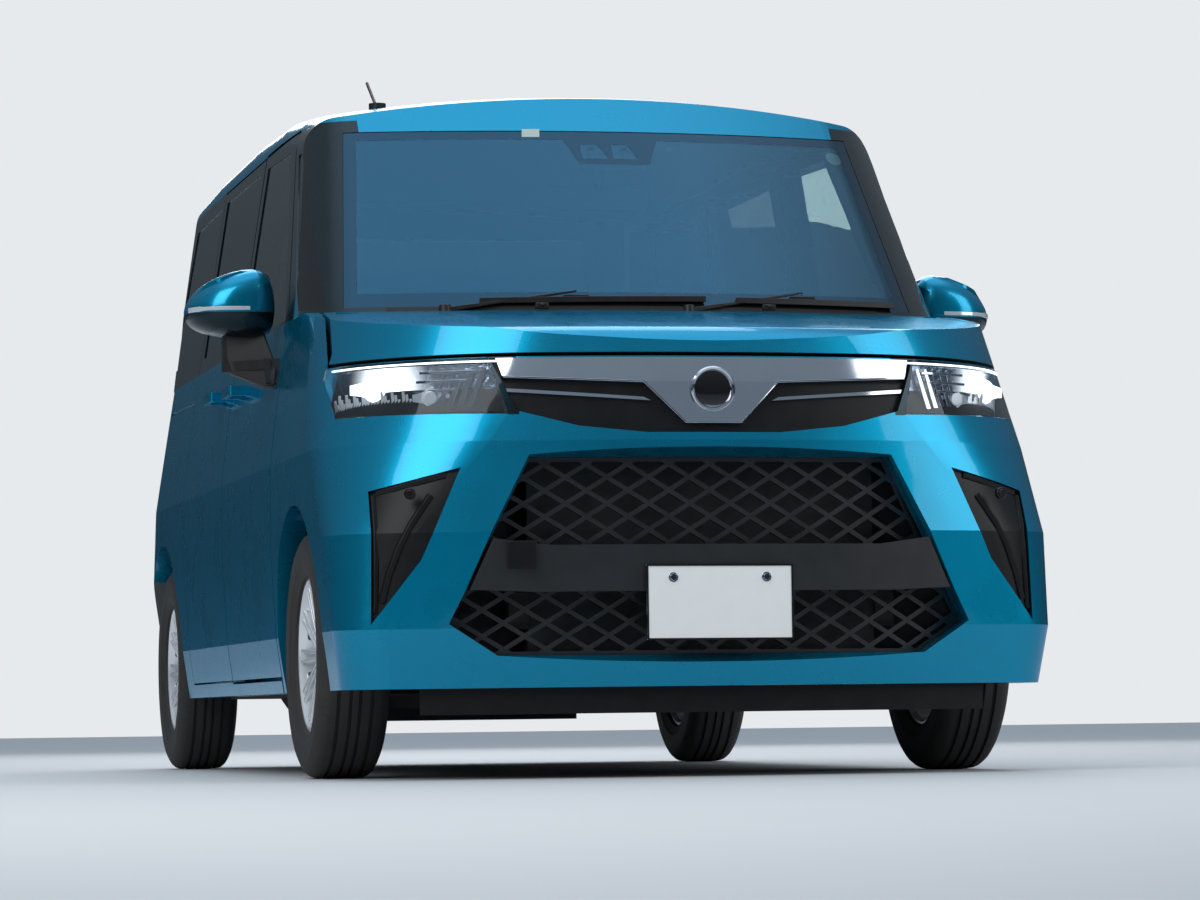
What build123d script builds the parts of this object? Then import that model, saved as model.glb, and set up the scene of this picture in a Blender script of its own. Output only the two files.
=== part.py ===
"""Compact minivan: a short, tall five-door wagon with hinged front doors, sliding rear doors, a lifting
tailgate and bonnet, and steered front wheels. Millimetres, +Z up, front towards -Y, +X the car's left.
The origin is on the ground under the middle of the body."""

from build123d import *
import os
from math import sqrt

os.makedirs("parts", exist_ok=True)

# Driving dimensions
BELT_Z = 1085.0
SILL_Z = 200.0
HALF_WIDTH = 835.0
NOSE_Y = -1850.0
TAIL_Y = 1850.0
FRONT_AXLE_Y = -1130.0
REAR_AXLE_Y = 1360.0
FRONT_WHEEL_X = 732.5
REAR_WHEEL_X = 737.5
TYRE_R = 285.0
FRONT_ARCH_R = 340.0
REAR_ARCH_R = 347.0
ARCH_Z = 290.0
BONNET_SKIN = 30.0
ROOF_SKIN = 40.0
WALL = 58.0
LIP_DEPTH = 64.0
LIP_BACK = 76.0
GAP = 9.0
SEAT = 0.3

# Plan outlines of the lower body from the sill to the belt, each line set against the driving dimensions.
# Columns: height, nose set back, nose radius, front corner radius, side set in, rear corner radius,
# tail set forward, tail radius
LOWER_SECTIONS = [
    (SILL_Z, 35, 2800, 130, 32, 150, 36, 4000),
    (330, 5, 2800, 135, 13, 175, 6, 4000),
    (540, 0, 2750, 230, 1, 225, 0, 4000),
    (740, 17, 2350, 430, 0, 290, 21, 4000),
    (870, 41, 2150, 515, 15, 325, 43, 4000),
    (BELT_Z, 90, 2000, 620, 45, 360, 58, 4000),
]
# The cabin's plan outlines, whose nose is the windscreen and whose sides stand outside the cabin's walls
CABIN_SECTIONS = [
    (BELT_Z, 700, 2150, 210, 43, 362, 58, 4000),
    (1760, 1242, 2150, 210, 123, 290, 134, 4000),
]
# Cross sections of the cabin along the car. Columns: y, height of the roof's middle
CABIN_STATIONS = [(-1300, 1550), (-650, 1660), (-400, 1695), (-100, 1722), (400, 1735), (1100, 1729),
                  (1900, 1696)]
CABIN_BELT_HALF = 790.0
CABIN_TOP_HALF = 700.0
CABIN_TOP_Z = 1650.0
ROOF_CROWN_R = 3600.0
ROOF_EDGE_R = 95.0

# The bonnet's surface on the middle line, as radius about a vertical axis and height, rear to front
BONNET_AXIS_Y = 1200.0
BONNET_REAR = (2345, 1091)
BONNET_CREST = (2925, 1000)
BONNET_LIP_TOP = (2984, 968)
BONNET_LIP = (3002, 925)
SCREEN_AXIS_Y = 1000.0

# Outlines in side view, as (y, z)
FRONT_DOOR = [(-770, 239), (-772, 450), (-790, BELT_Z), (-430, 1590), (81, 1590), (85.5, BELT_Z), (85.5, 239)]
SLIDING_DOOR = [(94.5, 239), (94.5, 1590), (866, 1590), (874, BELT_Z), (874, 239)]
FRONT_GLASS = [(-742, 1095), (-376, 1546), (30, 1558), (30, 1113)]
SLIDING_GLASS = [(150, 1118), (150, 1560), (816, 1560), (816, 1130)]
QUARTER_GLASS = [(928, 1134), (928, 1558), (1440, 1545), (1520, 1148)]
VENT_GLASS = [(-985, 1104), (-600, 1522), (-532, 1522), (-890, 1104)]
WING_ZONE = [(-1499.7, 806), (-1384.7, 522), (-1300, 180), (-779.5, 180), (-781.5, 450), (-799.5, 1084.85),
             (-1499.7, 1084.85)]

# Outlines in front view, as (x, z)
SCREEN = [(-692, 1100), (692, 1100), (632, 1562), (-632, 1562)]
HEADLAMP = [(452, 800), (790, 806), (800, 927), (488, 927)]
GRILLE_TRIM = [(-471, 925), (471, 925), (460, 885), (153, 873), (64, 782), (-64, 782), (-153, 873),
               (-460, 885)]
UPPER_GRILLE = [(-484, 925), (484, 925), (434, 807), (300, 772), (150, 757), (-150, 757), (-300, 772),
                (-434, 807)]
GRILLE_STRIP = [(153, 836), (137, 828), (450, 849), (452, 857)]
LOWER_OPENING = [(-408, 704), (408, 704), (590, 340), (484, 270), (-484, 270), (-590, 340)]
CROSS_BAR = [(-494, 526), (-376, 510), (376, 510), (494, 526), (545, 414), (400, 408), (-400, 408),
             (-545, 414)]
BEZEL = [(559, 682), (748, 634), (754, 341), (648, 480)]
PLATE_WIDTH, PLATE_HEIGHT, PLATE_Z = 330.0, 165.0, 300.0
PLATE_BOLT_SPACING, PLATE_BOLT_DROP, PLATE_BOLT_R = 210.0, 28.0, 3.5
TAIL_LAMP = [(598, 860), (598, 1180), (760, 1180), (800, 860)]
TAIL_WINDOW = [(-500, 1130), (500, 1130), (480, 1560), (-480, 1560)]

# Hinges
DOOR_HINGE_X, DOOR_HINGE_Y, DOOR_PIN_R = 813.0, -710.0, 5.0
DOOR_HINGE_HEIGHTS = [500, 740]
BONNET_HINGE_Y, BONNET_HINGE_Z, BONNET_PIN_R = -1080.0, 1068.0, 4.0
TAIL_HINGE_Y, TAIL_HINGE_Z, TAIL_PIN_R = 1613.0, 1697.0, 4.0
PIN_PLAY = 0.3

# The floor's half width, and the front pillar beside it, between the wheel arch and the door's swing
FLOOR_HALF = 700.0
PILLAR_X, PILLAR_Y = FLOOR_HALF + SEAT, -798.0


def corner_arc(side_x, crown_y, crown_r, corner_r, way):
    """Start, middle and end of the arc that joins the side line to the end arc. way is +1 at the nose, where
    the end arc's centre is towards +Y, and -1 at the tail."""
    centre_y = crown_y + way * crown_r
    cx = side_x - corner_r
    reach = crown_r - corner_r
    cy = centre_y - way * sqrt(reach**2 - cx**2)
    ux, uy = cx / reach, (cy - centre_y) / reach
    mx, my = (1 + ux) / 2, uy / 2
    norm = sqrt(mx**2 + my**2)
    return (
        (side_x, cy),
        (cx + corner_r * mx / norm, cy + corner_r * my / norm),
        (ux * crown_r, centre_y + uy * crown_r),
    )


def plan_wire(row, inset):
    """Closed plan outline of one section, taken in by inset."""
    z, nose_back, nose_r, front_r, side_in, rear_r, tail_in, tail_r = row
    side = HALF_WIDTH - side_in - inset
    nose, tail = NOSE_Y + nose_back + inset, TAIL_Y - tail_in - inset
    f0, f1, f2 = corner_arc(side, nose, nose_r - inset, front_r - inset, 1)
    r0, r1, r2 = corner_arc(side, tail, tail_r - inset, rear_r - inset, -1)

    def at(p, sign=1):
        return Vector(sign * p[0], p[1], z)

    return Wire([
        Edge.make_three_point_arc(at(f2, -1), Vector(0, nose, z), at(f2)),
        Edge.make_three_point_arc(at(f2), at(f1), at(f0)),
        Edge.make_line(at(f0), at(r0)),
        Edge.make_three_point_arc(at(r0), at(r1), at(r2)),
        Edge.make_three_point_arc(at(r2), Vector(0, tail, z), at(r2, -1)),
        Edge.make_three_point_arc(at(r2, -1), at(r1, -1), at(r0, -1)),
        Edge.make_line(at(r0, -1), at(f0, -1)),
        Edge.make_three_point_arc(at(f0, -1), at(f1, -1), at(f2, -1)),
    ])


def station_wire(row, inset):
    """Closed cross section of the cabin: floor line, leaning sides, round edges and crowned roof."""
    y, roof_z = row
    lean = (CABIN_BELT_HALF - CABIN_TOP_HALF) / (CABIN_TOP_Z - BELT_Z)
    slope = sqrt(1 + lean**2)
    foot_x = CABIN_BELT_HALF - inset * slope
    roof_z -= inset
    crown_r, edge_r = ROOF_CROWN_R - inset, ROOF_EDGE_R - inset
    crown_z = roof_z - crown_r
    # The edge arc's centre is edge_r inside the side line and crown_r - edge_r from the crown's centre
    reach = crown_r - edge_r
    k = foot_x - edge_r * slope + lean * BELT_Z
    qa, qb, qc = 1 + lean**2, -2 * (lean * k + crown_z), k**2 + crown_z**2 - reach**2
    cz = (-qb + sqrt(qb**2 - 4 * qa * qc)) / (2 * qa)
    cx = k - lean * cz
    side = (1 / slope, lean / slope)
    top = (cx / reach, (cz - crown_z) / reach)
    norm = sqrt((side[0] + top[0]) ** 2 + (side[1] + top[1]) ** 2)

    def at(px, pz, sign=1):
        return Vector(sign * px, y, pz)

    foot = (foot_x, BELT_Z)
    a = (cx + edge_r * side[0], cz + edge_r * side[1])
    b = (cx + edge_r * (side[0] + top[0]) / norm, cz + edge_r * (side[1] + top[1]) / norm)
    c = (top[0] * crown_r, crown_z + top[1] * crown_r)
    return Wire([
        Edge.make_line(at(*foot, -1), at(*foot)),
        Edge.make_line(at(*foot), at(*a)),
        Edge.make_three_point_arc(at(*a), at(*b), at(*c)),
        Edge.make_three_point_arc(at(*c), Vector(0, y, roof_z), at(*c, -1)),
        Edge.make_three_point_arc(at(*c, -1), at(*b, -1), at(*a, -1)),
        Edge.make_line(at(*a, -1), at(*foot, -1)),
    ])


def above_bonnet(inset):
    """Everything above the bonnet's surface, revolved about the bonnet's vertical axis."""
    rear = Vector(BONNET_REAR[0], 0, BONNET_REAR[1] - inset)
    crest = Vector(BONNET_CREST[0] - 0.2 * inset, 0, BONNET_CREST[1] - inset)
    lip_top = Vector(BONNET_LIP_TOP[0] - 0.8 * inset, 0, BONNET_LIP_TOP[1] - 0.6 * inset)
    lip = Vector(BONNET_LIP[0] - inset, 0, BONNET_LIP[1])
    far_low, far_high = Vector(3600, 0, BONNET_LIP[1]), Vector(3600, 0, 1400)
    near_high = Vector(BONNET_REAR[0], 0, 1400)
    profile = Face(Wire([
        Edge.make_line(rear, crest),
        Edge.make_three_point_arc(crest, lip_top, lip),
        Edge.make_line(lip, far_low),
        Edge.make_line(far_low, far_high),
        Edge.make_line(far_high, near_high),
        Edge.make_line(near_high, rear),
    ]))
    return Pos(0, BONNET_AXIS_Y, 0) * Solid.revolve(profile, 360, Axis.Z)


def lower_body(inset=0.0, coarse=False):
    """Solid lower body up to the belt, taken in by inset on its sides, nose, tail and bonnet."""
    rows = [row for i, row in enumerate(LOWER_SECTIONS) if not coarse or i in (0, 2, 4, 5)]
    return Solid.make_loft([plan_wire(row, inset) for row in rows], ruled=True) - above_bonnet(inset)


def cross_sections(inset=0.0, coarse=False):
    """Loft through the cabin's cross sections, open-ended past the windscreen and the tailgate."""
    rows = [row for i, row in enumerate(CABIN_STATIONS) if not coarse or i in (0, 1, 3, 4, 6)]
    return Solid.make_loft([station_wire(row, inset) for row in rows], ruled=True)


def cabin(inset=0.0, coarse=False):
    """Solid cabin from the belt to the roof, taken in by inset."""
    plan = Solid.make_loft([plan_wire(row, inset) for row in CABIN_SECTIONS], ruled=True)
    return plan & cross_sections(inset, coarse)


def body_solid(inset=0.0, coarse=False):
    return lower_body(inset, coarse) + cabin(inset, coarse)


def box(x0, x1, y0, y1, z0, z1):
    """Block between two corners."""
    return Pos((x0 + x1) / 2, (y0 + y1) / 2, (z0 + z1) / 2) * Box(x1 - x0, y1 - y0, z1 - z0)


def rod(axis, centre, r, half):
    """Cylinder along one of the frame's axes, reaching half its length each way from centre."""
    turn = {"x": (0, 90, 0), "y": (90, 0, 0), "z": (0, 0, 0)}[axis]
    return Pos(*centre) * Rot(*turn) * Cylinder(r, 2 * half)


def side_prism(points, x0, x1):
    """Prism along X over an outline of (y, z) points."""
    outline = Wire.make_polygon([Vector(x0, y, z) for y, z in points])
    return Solid.extrude(Face(outline), Vector(x1 - x0, 0, 0))


def front_prism(points, y0, y1):
    """Prism along Y over an outline of (x, z) points."""
    outline = Wire.make_polygon([Vector(x, y0, z) for x, z in points])
    return Solid.extrude(Face(outline), Vector(0, y1 - y0, 0))


def top_prism(points, z0, z1):
    """Prism along Z over an outline of (x, y) points."""
    outline = Wire.make_polygon([Vector(x, y, z0) for x, y in points])
    return Solid.extrude(Face(outline), Vector(0, 0, z1 - z0))


def grown(points, by):
    """An outline moved outwards by a distance, or inwards by a negative one."""
    wire = Wire.make_polygon([Vector(a, b, 0) for a, b in points])
    return [(v.X, v.Y) for v in wire.offset_2d(by, kind=Kind.INTERSECTION).vertices()]


def widened(points):
    """A left-hand outline of (x, y) points with its mirror image joined on."""
    return points + [(-x, y) for x, y in reversed(points)]


def mirrored(shape):
    return mirror(shape, Plane.YZ)


def largest(shape):
    return shape.solids().sort_by(SortBy.VOLUME)[-1]


def save(node, *shapes):
    """Write one node from the solids of the shapes given."""
    solids = [solid for shape in shapes for solid in shape.solids()]
    export_step(solids[0] if len(solids) == 1 else Compound(children=solids), f"parts/{node}.step")


def save_pair(node, *shapes):
    """Write one node from the shapes and their mirror images."""
    save(node, *shapes, *[mirrored(shape) for shape in shapes])


# The body's outer surface and the inner ones of its bonnet, walls and door openings
outer = body_solid()
left = box(430, 900, -1900, 1900, 100, 1800)
front_end = box(-900, 900, -1900, -1190, 100, 1000)
rear_end = box(-900, 900, 1280, 1900, 100, 1800)
outer_left, outer_front, outer_rear = outer & left, outer & front_end, outer & rear_end
inner_wall = body_solid(WALL, True)
inner_left = inner_wall & left
wall_left = outer_left - inner_left
nose_shell = outer_front - (inner_wall & front_end)
tail_shell = outer_rear - (inner_wall & rear_end)
lip_left = body_solid(LIP_DEPTH, True) & left
deep_left = outer_left - (body_solid(LIP_BACK, True) & left)
glass = cabin(3) - cabin(8)
glass_left = glass & left

front_arch = rod("x", (660, FRONT_AXLE_Y - 15, ARCH_Z), FRONT_ARCH_R, 200)
rear_arch = rod("x", (750, REAR_AXLE_Y, ARCH_Z), REAR_ARCH_R, 170)
screen_cut = front_prism(grown(SCREEN, SEAT), -1300, -400) - cabin(50, True)
screen_hole = front_prism(grown(SCREEN, -22), -1300, -400)

# Front doors, with strap hinges in notches that open inwards and forwards, and painted mirror caps
front_door = wall_left & side_prism(FRONT_DOOR, 500, 900)
front_door -= side_prism(grown(FRONT_GLASS, SEAT), 500, 900)
hinge_arms = []
for z in DOOR_HINGE_HEIGHTS:
    pin = (DOOR_HINGE_X, DOOR_HINGE_Y, z)
    front_door -= box(600, DOOR_HINGE_X + 13, DOOR_HINGE_Y - 90, DOOR_HINGE_Y + 13, z - 17, z + 17)
    front_door -= rod("z", pin, DOOR_PIN_R + PIN_PLAY, 44)
    arm = box(PILLAR_X, DOOR_HINGE_X, DOOR_HINGE_Y - 8, DOOR_HINGE_Y + 8, z - 12, z + 12)
    arm += box(PILLAR_X, PILLAR_X + 26, PILLAR_Y, DOOR_HINGE_Y + 8, z - 12, z + 12)
    hinge_arms.append(arm + rod("z", pin, 8, 12) + rod("z", pin, DOOR_PIN_R, 40))
front_handle = box(796, 850, -175, -25, 957, 981) - box(790, 836, -155, -45, 950, 990)
rear_handle = box(796, 850, 190, 340, 967, 991) - box(790, 836, 210, 320, 960, 1000)
front_door += fillet(front_handle.edges().filter_by(Axis.Z), 8)

# Door mirrors: a painted cap over a black foot, stalk and lower housing
MIRROR_FRONT = [(808, 1084), (860, 1070), (975, 1082), (1006, 1112), (1004, 1150), (968, 1192), (890, 1220),
                (812, 1214)]
head = top_prism([(812, -560), (806, -640), (840, -690), (940, -684), (1006, -630), (1006, -560)], 1060, 1230)
head = fillet(head.edges().filter_by(Axis.Z), 26)
head_front = front_prism(MIRROR_FRONT, -700, -550)
head = head & fillet(head_front.edges().filter_by(Axis.Y), 16)
mirror_cap = head & box(780, 1020, -700, -500, 1120, 1220)
mirror_base = head & box(780, 1020, -700, -500, 1060, 1120)
mirror_foot = side_prism([(-755, 944), (-690, 936), (-668, 1004), (-735, 1004)], 780, 838) - outer
stalk = top_prism([(826, -745), (826, -690), (900, -600), (930, -640)], 978, 1002)
neck = fillet(box(880, 925, -650, -590, 980, 1073).edges().filter_by(Axis.Z), 15)
mirror_base = largest(mirror_foot) + (stalk - outer) + neck + mirror_base
save("front_door_l", front_door, mirror_cap)
save("front_door_r", mirrored(front_door), mirrored(mirror_cap))
save("mirror_l", mirror_base)
save("mirror_r", mirrored(mirror_base))
door_glass = glass_left & side_prism(FRONT_GLASS, 500, 900)
save("front_door_glass_l", door_glass)
save("front_door_glass_r", mirrored(door_glass))

# Sliding doors, shut: an outer slab with an open seam and an inner edge that meets its opening
inner_skin = body_solid(BONNET_SKIN, True)
skin_left = inner_skin & left
sliding_door = (outer_left - skin_left) & side_prism(grown(SLIDING_DOOR, -0.5), 500, 900)
sliding_door += (skin_left - inner_left) & side_prism(grown(SLIDING_DOOR, 4.2), 500, 900) & box(
    500, 900, 94.5, 1000, 180, 1700)
sliding_door -= side_prism(grown(SLIDING_GLASS, SEAT), 500, 900)
sliding_door += fillet(rear_handle.edges().filter_by(Axis.Z), 8)
save_pair("sliding_doors", sliding_door)
save_pair("side_glasses", *[glass_left & side_prism(outline, 500, 900)
                            for outline in (SLIDING_GLASS, QUARTER_GLASS, VENT_GLASS)])

# Front wings, behind the bumper's seam and outside the bonnet
BONNET_SIDE = [(900, -1385), (778, -1385), (745, -1040), (745, -1000)]
bonnet_zone = top_prism(widened([(900, -1900)] + BONNET_SIDE), 900, 1200)
bonnet_clear = [(x + GAP if x < 900 else x, y + GAP) for x, y in BONNET_SIDE]
bonnet_space = top_prism(widened([(900, -1900)] + bonnet_clear), 928, 1200)
lamp_hole = front_prism(grown(HEADLAMP, SEAT), -1900, -1372)
wing = (wall_left & side_prism(WING_ZONE, 500, 900)) - front_arch - bonnet_space - lamp_hole
save_pair("fenders", largest(wing))

# Body sides: sill, roof rail, front and rear pillars and rear quarter, with lips inside the doors
SIDE_ZONE = [(-1080, BELT_Z + 0.15), (-760, BELT_Z + 0.15), (-760, 180), (1850, 180), (1850, 1800),
             (-1080, 1800)]
side = deep_left & side_prism(SIDE_ZONE, 596.15, 900)
for door, gap in ((FRONT_DOOR, GAP + 0.5), (SLIDING_DOOR, 4.5)):
    side -= side_prism(grown(door, gap), 500, 900) - lip_left
    side -= side_prism(grown(door, -14), 500, 900)
side -= box(500, 900, -830, -700, FRONT_DOOR[0][1] - GAP - 0.5, BELT_Z)
side -= side_prism(grown(FRONT_DOOR, GAP + 0.5), 500, 900) & (
    box(500, 900, -900, -690, 150, 1230) + box(500, 900, -700, -645, 150, 262))
for window in (QUARTER_GLASS, VENT_GLASS):
    side -= side_prism(grown(window, SEAT), 500, 900)
side = side - rear_arch - screen_cut - screen_hole
side -= box(500, 900, 1600, 1900, 100, 709.15) + box(0, 596, 1300, 1900, 700, 1800)
side -= front_prism(grown(TAIL_LAMP, SEAT), 1559.7, 1900)
side -= side_prism([(880, 1004), (880, 1014), (1470, 1022), (1470, 1012)], 792, 900)
# The hinge pillar rises from the sill inside the wing, steps in under the belt, and joins the screen pillar
PILLAR_FRONT = [(PILLAR_X, SILL_Z), (PILLAR_X + 26, SILL_Z), (PILLAR_X + 26, 760), (PILLAR_X, 900),
                (PILLAR_X, 1100), (PILLAR_X - 35, 1100), (PILLAR_X - 35, 860), (PILLAR_X, 640)]
side += front_prism(PILLAR_FRONT, PILLAR_Y, PILLAR_Y + 28)
side += box(PILLAR_X, PILLAR_X + 40, PILLAR_Y, -690, SILL_Z, FRONT_DOOR[0][1] - GAP - 0.5)
side += box(PILLAR_X - 35, PILLAR_X, -870, PILLAR_Y + 28, 1060, 1100)
side += box(PILLAR_X - 35, PILLAR_X + 40, -870, -830, BELT_Z + 0.15, 1100)
for arm in hinge_arms:
    side += arm
side = largest(side)
save("body_side_l", side)
save("body_side_r", mirrored(side))

# Roof, with the two arms that carry the tailgate
roof = (outer - body_solid(ROOF_SKIN, True)) & box(-595.85, 595.85, -900, 1600, 1400, 1800)
roof = largest(roof - front_prism(grown(SCREEN, SEAT), -1300, -400))
for x in (-200, 200):
    roof += box(x - 10, x + 10, 1560, TAIL_HINGE_Y, TAIL_HINGE_Z - 8, TAIL_HINGE_Z + 4)
    roof += rod("x", (x, TAIL_HINGE_Y, TAIL_HINGE_Z), TAIL_PIN_R, 28)
save("roof_panel", roof)

# Tailgate, with its window opening, a spoiler that carries on the roof's line, and hinge notches
tailgate = tail_shell & box(-587, 587, 1300, 1900, 715, 1800)
tailgate -= box(-600, 600, 1300, 1609, 1400, 1800) + front_prism(grown(TAIL_WINDOW, SEAT), 1500, 1900)
spoiler = cross_sections() - cross_sections(26)
tailgate += spoiler & top_prism(widened([(545, 1640), (560, 1700), (520, 1790)]), 1500, 1800)
for x in (-200, 200):
    tailgate -= box(x - 16, x + 16, 1600, 1628, TAIL_HINGE_Z - 16, 1800)
    tailgate -= rod("x", (x, TAIL_HINGE_Y, TAIL_HINGE_Z), TAIL_PIN_R + PIN_PLAY, 34)
save("tailgate", largest(tailgate))
save("tailgate_glass", glass & front_prism(TAIL_WINDOW, 1500, 1900))
save("windscreen", (cabin(2) - cabin(7)) & front_prism(SCREEN, -1300, -400))

# Bonnet, with a notch and a bore at each rear corner for the hinge arms
bonnet = ((outer - inner_skin) & bonnet_zone) - Pos(0, SCREEN_AXIS_Y, 1050) * Cylinder(2192, 400)
bonnet = largest(bonnet - box(-900, 900, -1900, -900, 800, 937))
for x in (-700, 700):
    bonnet += box(x - 26, x + 26, -1125, -1068, 1058, 1080)
    bonnet -= box(x - 15, x + 15, -1105, -1000, 1000, 1077)
    bonnet -= rod("x", (x, BONNET_HINGE_Y, BONNET_HINGE_Z), BONNET_PIN_R + PIN_PLAY, 30)
save("bonnet", largest(bonnet))

# Cowl below the windscreen, notched round the bonnet's hinge blocks and carrying their pins
cowl_ring = Pos(0, SCREEN_AXIS_Y, 1050) * (Cylinder(2183, 400) - Cylinder(2080, 400))
cowl = (outer & box(-740, 740, -1200, -1000, 1050, 1099.7) & cowl_ring) - side - mirrored(side)
for x in (-700, 700):
    cowl -= box(x - 32, x + 32, -1150, BONNET_HINGE_Y + 23, 1040, 1100)
    cowl -= box(x - 84, x + 84, -1150, BONNET_HINGE_Y + 23, 1070, 1100)
    cowl += box(x - 10, x + 10, BONNET_HINGE_Y - 7, BONNET_HINGE_Y + 30, 1040, 1052)
    cowl += box(x - 10, x + 10, BONNET_HINGE_Y - 7, BONNET_HINGE_Y + 7, 1040, BONNET_HINGE_Z)
    cowl += rod("x", (x, BONNET_HINGE_Y, BONNET_HINGE_Z), 7, 10)
    cowl += rod("x", (x, BONNET_HINGE_Y, BONNET_HINGE_Z), BONNET_PIN_R, 25)
save("cowl", largest(cowl))

# Front bumper: the nose shell with its openings; the lower opening's border slants in to the mesh
bumper = nose_shell & box(-900, 900, -1900, -1200, 180, 928)
WING_SEAM = [(-1500, 806), (-1385, 522), (-1385, 100), (-900, 100), (-900, 1000), (-1500, 1000)]
bumper -= side_prism(WING_SEAM, -900, 900)
bumper = bumper - front_arch - mirrored(front_arch) - lamp_hole - mirrored(lamp_hole)
bumper -= front_prism(grown(UPPER_GRILLE, SEAT), -1900, -1500)
border_wires = [
    Wire.make_polygon([Vector(x, y, z) for x, z in grown(LOWER_OPENING, by)])
    for y, by in ((-1880, 42), (-1790, SEAT), (-1600, SEAT))
]
bumper -= Solid.make_loft(border_wires, ruled=True)
bezel_hole = front_prism(grown(BEZEL, SEAT), -1900, -1400) - lower_body(24)
bumper = largest(bumper - bezel_hole - mirrored(bezel_hole))
save("front_bumper", bumper)

# Black trim in the nose: corner bezels, the panel behind the bright grille trim, and the air dam below
bezel = (lower_body(10) - lower_body(23.7)) & front_prism(BEZEL, -1900, -1400)
upper = (lower_body(16.3) - lower_body(40)) & front_prism(UPPER_GRILLE, -1900, -1500)
air_dam = Pos(0, NOSE_Y + 60 + 2800, 171) * (Cylinder(2800, 57.4) - Cylinder(2776, 57.4))
save("nose_trim", bezel, mirrored(bezel), upper, air_dam & box(-640, 640, -1900, -1600, 140, 200))
trim = (outer_front - lower_body(16)) & front_prism(GRILLE_TRIM, -1900, -1500)
strip = (lower_body(8) - lower_body(16)) & front_prism(GRILLE_STRIP, -1900, -1500)
save("grille_trim", trim, strip, mirrored(strip))

# Lower grille: a curved mesh of slanting bars with diamond openings, behind the bar that carries the plate
MESH_PITCH_X, MESH_PITCH_Z, MESH_BAR = 92.0, 58.0, 9.0
mesh_front = Pos(0, -1775 + 2700, 500) * Cylinder(2700, 700)
mesh_back = Pos(0, -1775 + 2700, 500) * Cylinder(2688, 700)
field = front_prism(grown(LOWER_OPENING, -0.1), -1900, -1500)
diamonds = []
half_x, half_z = MESH_PITCH_X / 2 - MESH_BAR, MESH_PITCH_Z / 2 - MESH_BAR * 0.7
for row in range(-7, 8):
    for col in range(-7, 8):
        cx = (col + 0.5 * (row % 2)) * MESH_PITCH_X
        cz = 487 + row * MESH_PITCH_Z / 2
        if abs(cx) < 580 - abs(cz - 350) * 0.45:
            corners = [(cx - half_x, cz), (cx, cz - half_z), (cx + half_x, cz), (cx, cz + half_z)]
            diamonds.append(front_prism(corners, -1900, -1500))
mesh_holes = Compound(children=diamonds) & front_prism(grown(LOWER_OPENING, -9), -1900, -1500)
mesh = ((field & mesh_front) - mesh_back) - mesh_holes
cross_bar = front_prism(CROSS_BAR, -1900, -1500) & (outer_front - lower_body(30))
mesh_middle = Pos(0, -1775 + 2700, 500) * Cylinder(2694, 700)
hanger = (front_prism(grown(CROSS_BAR, -8), -1900, -1500) & lower_body(29)) - mesh_middle
plate_y = NOSE_Y - 8
plate_top = PLATE_Z + PLATE_HEIGHT
plate = box(-PLATE_WIDTH / 2, PLATE_WIDTH / 2, plate_y - 1.5, plate_y, PLATE_Z, plate_top)
plate_seat = box(-140, 140, plate_y + SEAT, plate_y + 26, 410, plate_top - 5)
for x in (-PLATE_BOLT_SPACING / 2, PLATE_BOLT_SPACING / 2):
    bolt_hole = rod("y", (x, plate_y, plate_top - PLATE_BOLT_DROP), PLATE_BOLT_R, 22)
    plate -= bolt_hole
    plate_seat -= bolt_hole
    cross_bar -= bolt_hole
save("lower_grille", largest(mesh + cross_bar + hanger + plate_seat))
save("number_plate", plate)

# Lamps: clear lenses flush with the body over housings set behind them
lens = (outer_left - lower_body(4)) & front_prism(HEADLAMP, -1900, -1376)
save_pair("headlamps", largest(lens - bonnet_space))
lamp_back = (lower_body(34) - lower_body(50)) & front_prism(HEADLAMP, -1900, -1376)
lamp_back = lamp_back & box(430, 900, -1900, -1300, 700, 926)
tail_zone = front_prism(TAIL_LAMP, 1560, 1900)
save_pair("tail_lamps", (outer_rear - lower_body(5) - cabin(5)) & tail_zone)
tail_back = (lower_body(20) + cabin(20) - lower_body(34) - cabin(34)) & tail_zone
save_pair("lamp_housings", largest(lamp_back), largest(tail_back))

# Rear bumper
rear_bumper = tail_shell & box(-900, 900, 1600, 1900, 180, 705.7)
save("rear_bumper", largest(rear_bumper - rear_arch - mirrored(rear_arch)))

# Floor, firewall, chassis legs and wheel housings
floor = side_prism([(-790, 195), (940, 195), (1040, 390), (1690, 390), (1690, 420), (1026, 420), (926, 225),
                    (-790, 225)], -FLOOR_HALF, FLOOR_HALF)
floor = floor & top_prism(widened([(FLOOR_HALF, -800), (FLOOR_HALF, 1450), (520, 1690)]), 100, 500)
floor += side_prism([(-790, 195), (-770, 195), (-770, 640), (-1000, 760), (-1000, 1050), (-1015, 1050),
                     (-1015, 750), (-790, 632)], -600, 600)
inside = lower_body(LIP_BACK + SEAT, True)
for s in (-1, 1):
    floor -= rod("x", (s * 700, REAR_AXLE_Y, ARCH_Z), REAR_ARCH_R + 5, 116.5)
    arch = rod("x", (s * 665, REAR_AXLE_Y, ARCH_Z), REAR_ARCH_R + 13, 87)
    arch -= rod("x", (s * 671, REAR_AXLE_Y, ARCH_Z), REAR_ARCH_R + 5, 87)
    floor += arch & inside & box(-800, 800, 900, 1800, 225, 800)
    floor += box(s * 418 - 21.7, s * 418 + 21.7, -1700, -780, 330, 410)
    liner = rod("x", (s * 610, FRONT_AXLE_Y - 15, ARCH_Z), FRONT_ARCH_R + 14, 148)
    liner -= rod("x", (s * 616, FRONT_AXLE_Y - 15, ARCH_Z), FRONT_ARCH_R + 6, 148)
    liner = liner & box(-800, 800, -1480, PILLAR_Y - SEAT, 290, 800)
    liner -= rod("z", (s * 562, FRONT_AXLE_Y, 560), 62, 300)
    liner -= box(s * 460 - 30, s * 460 + 30, -1260, -1000, 290, 800)
    floor += liner
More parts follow.
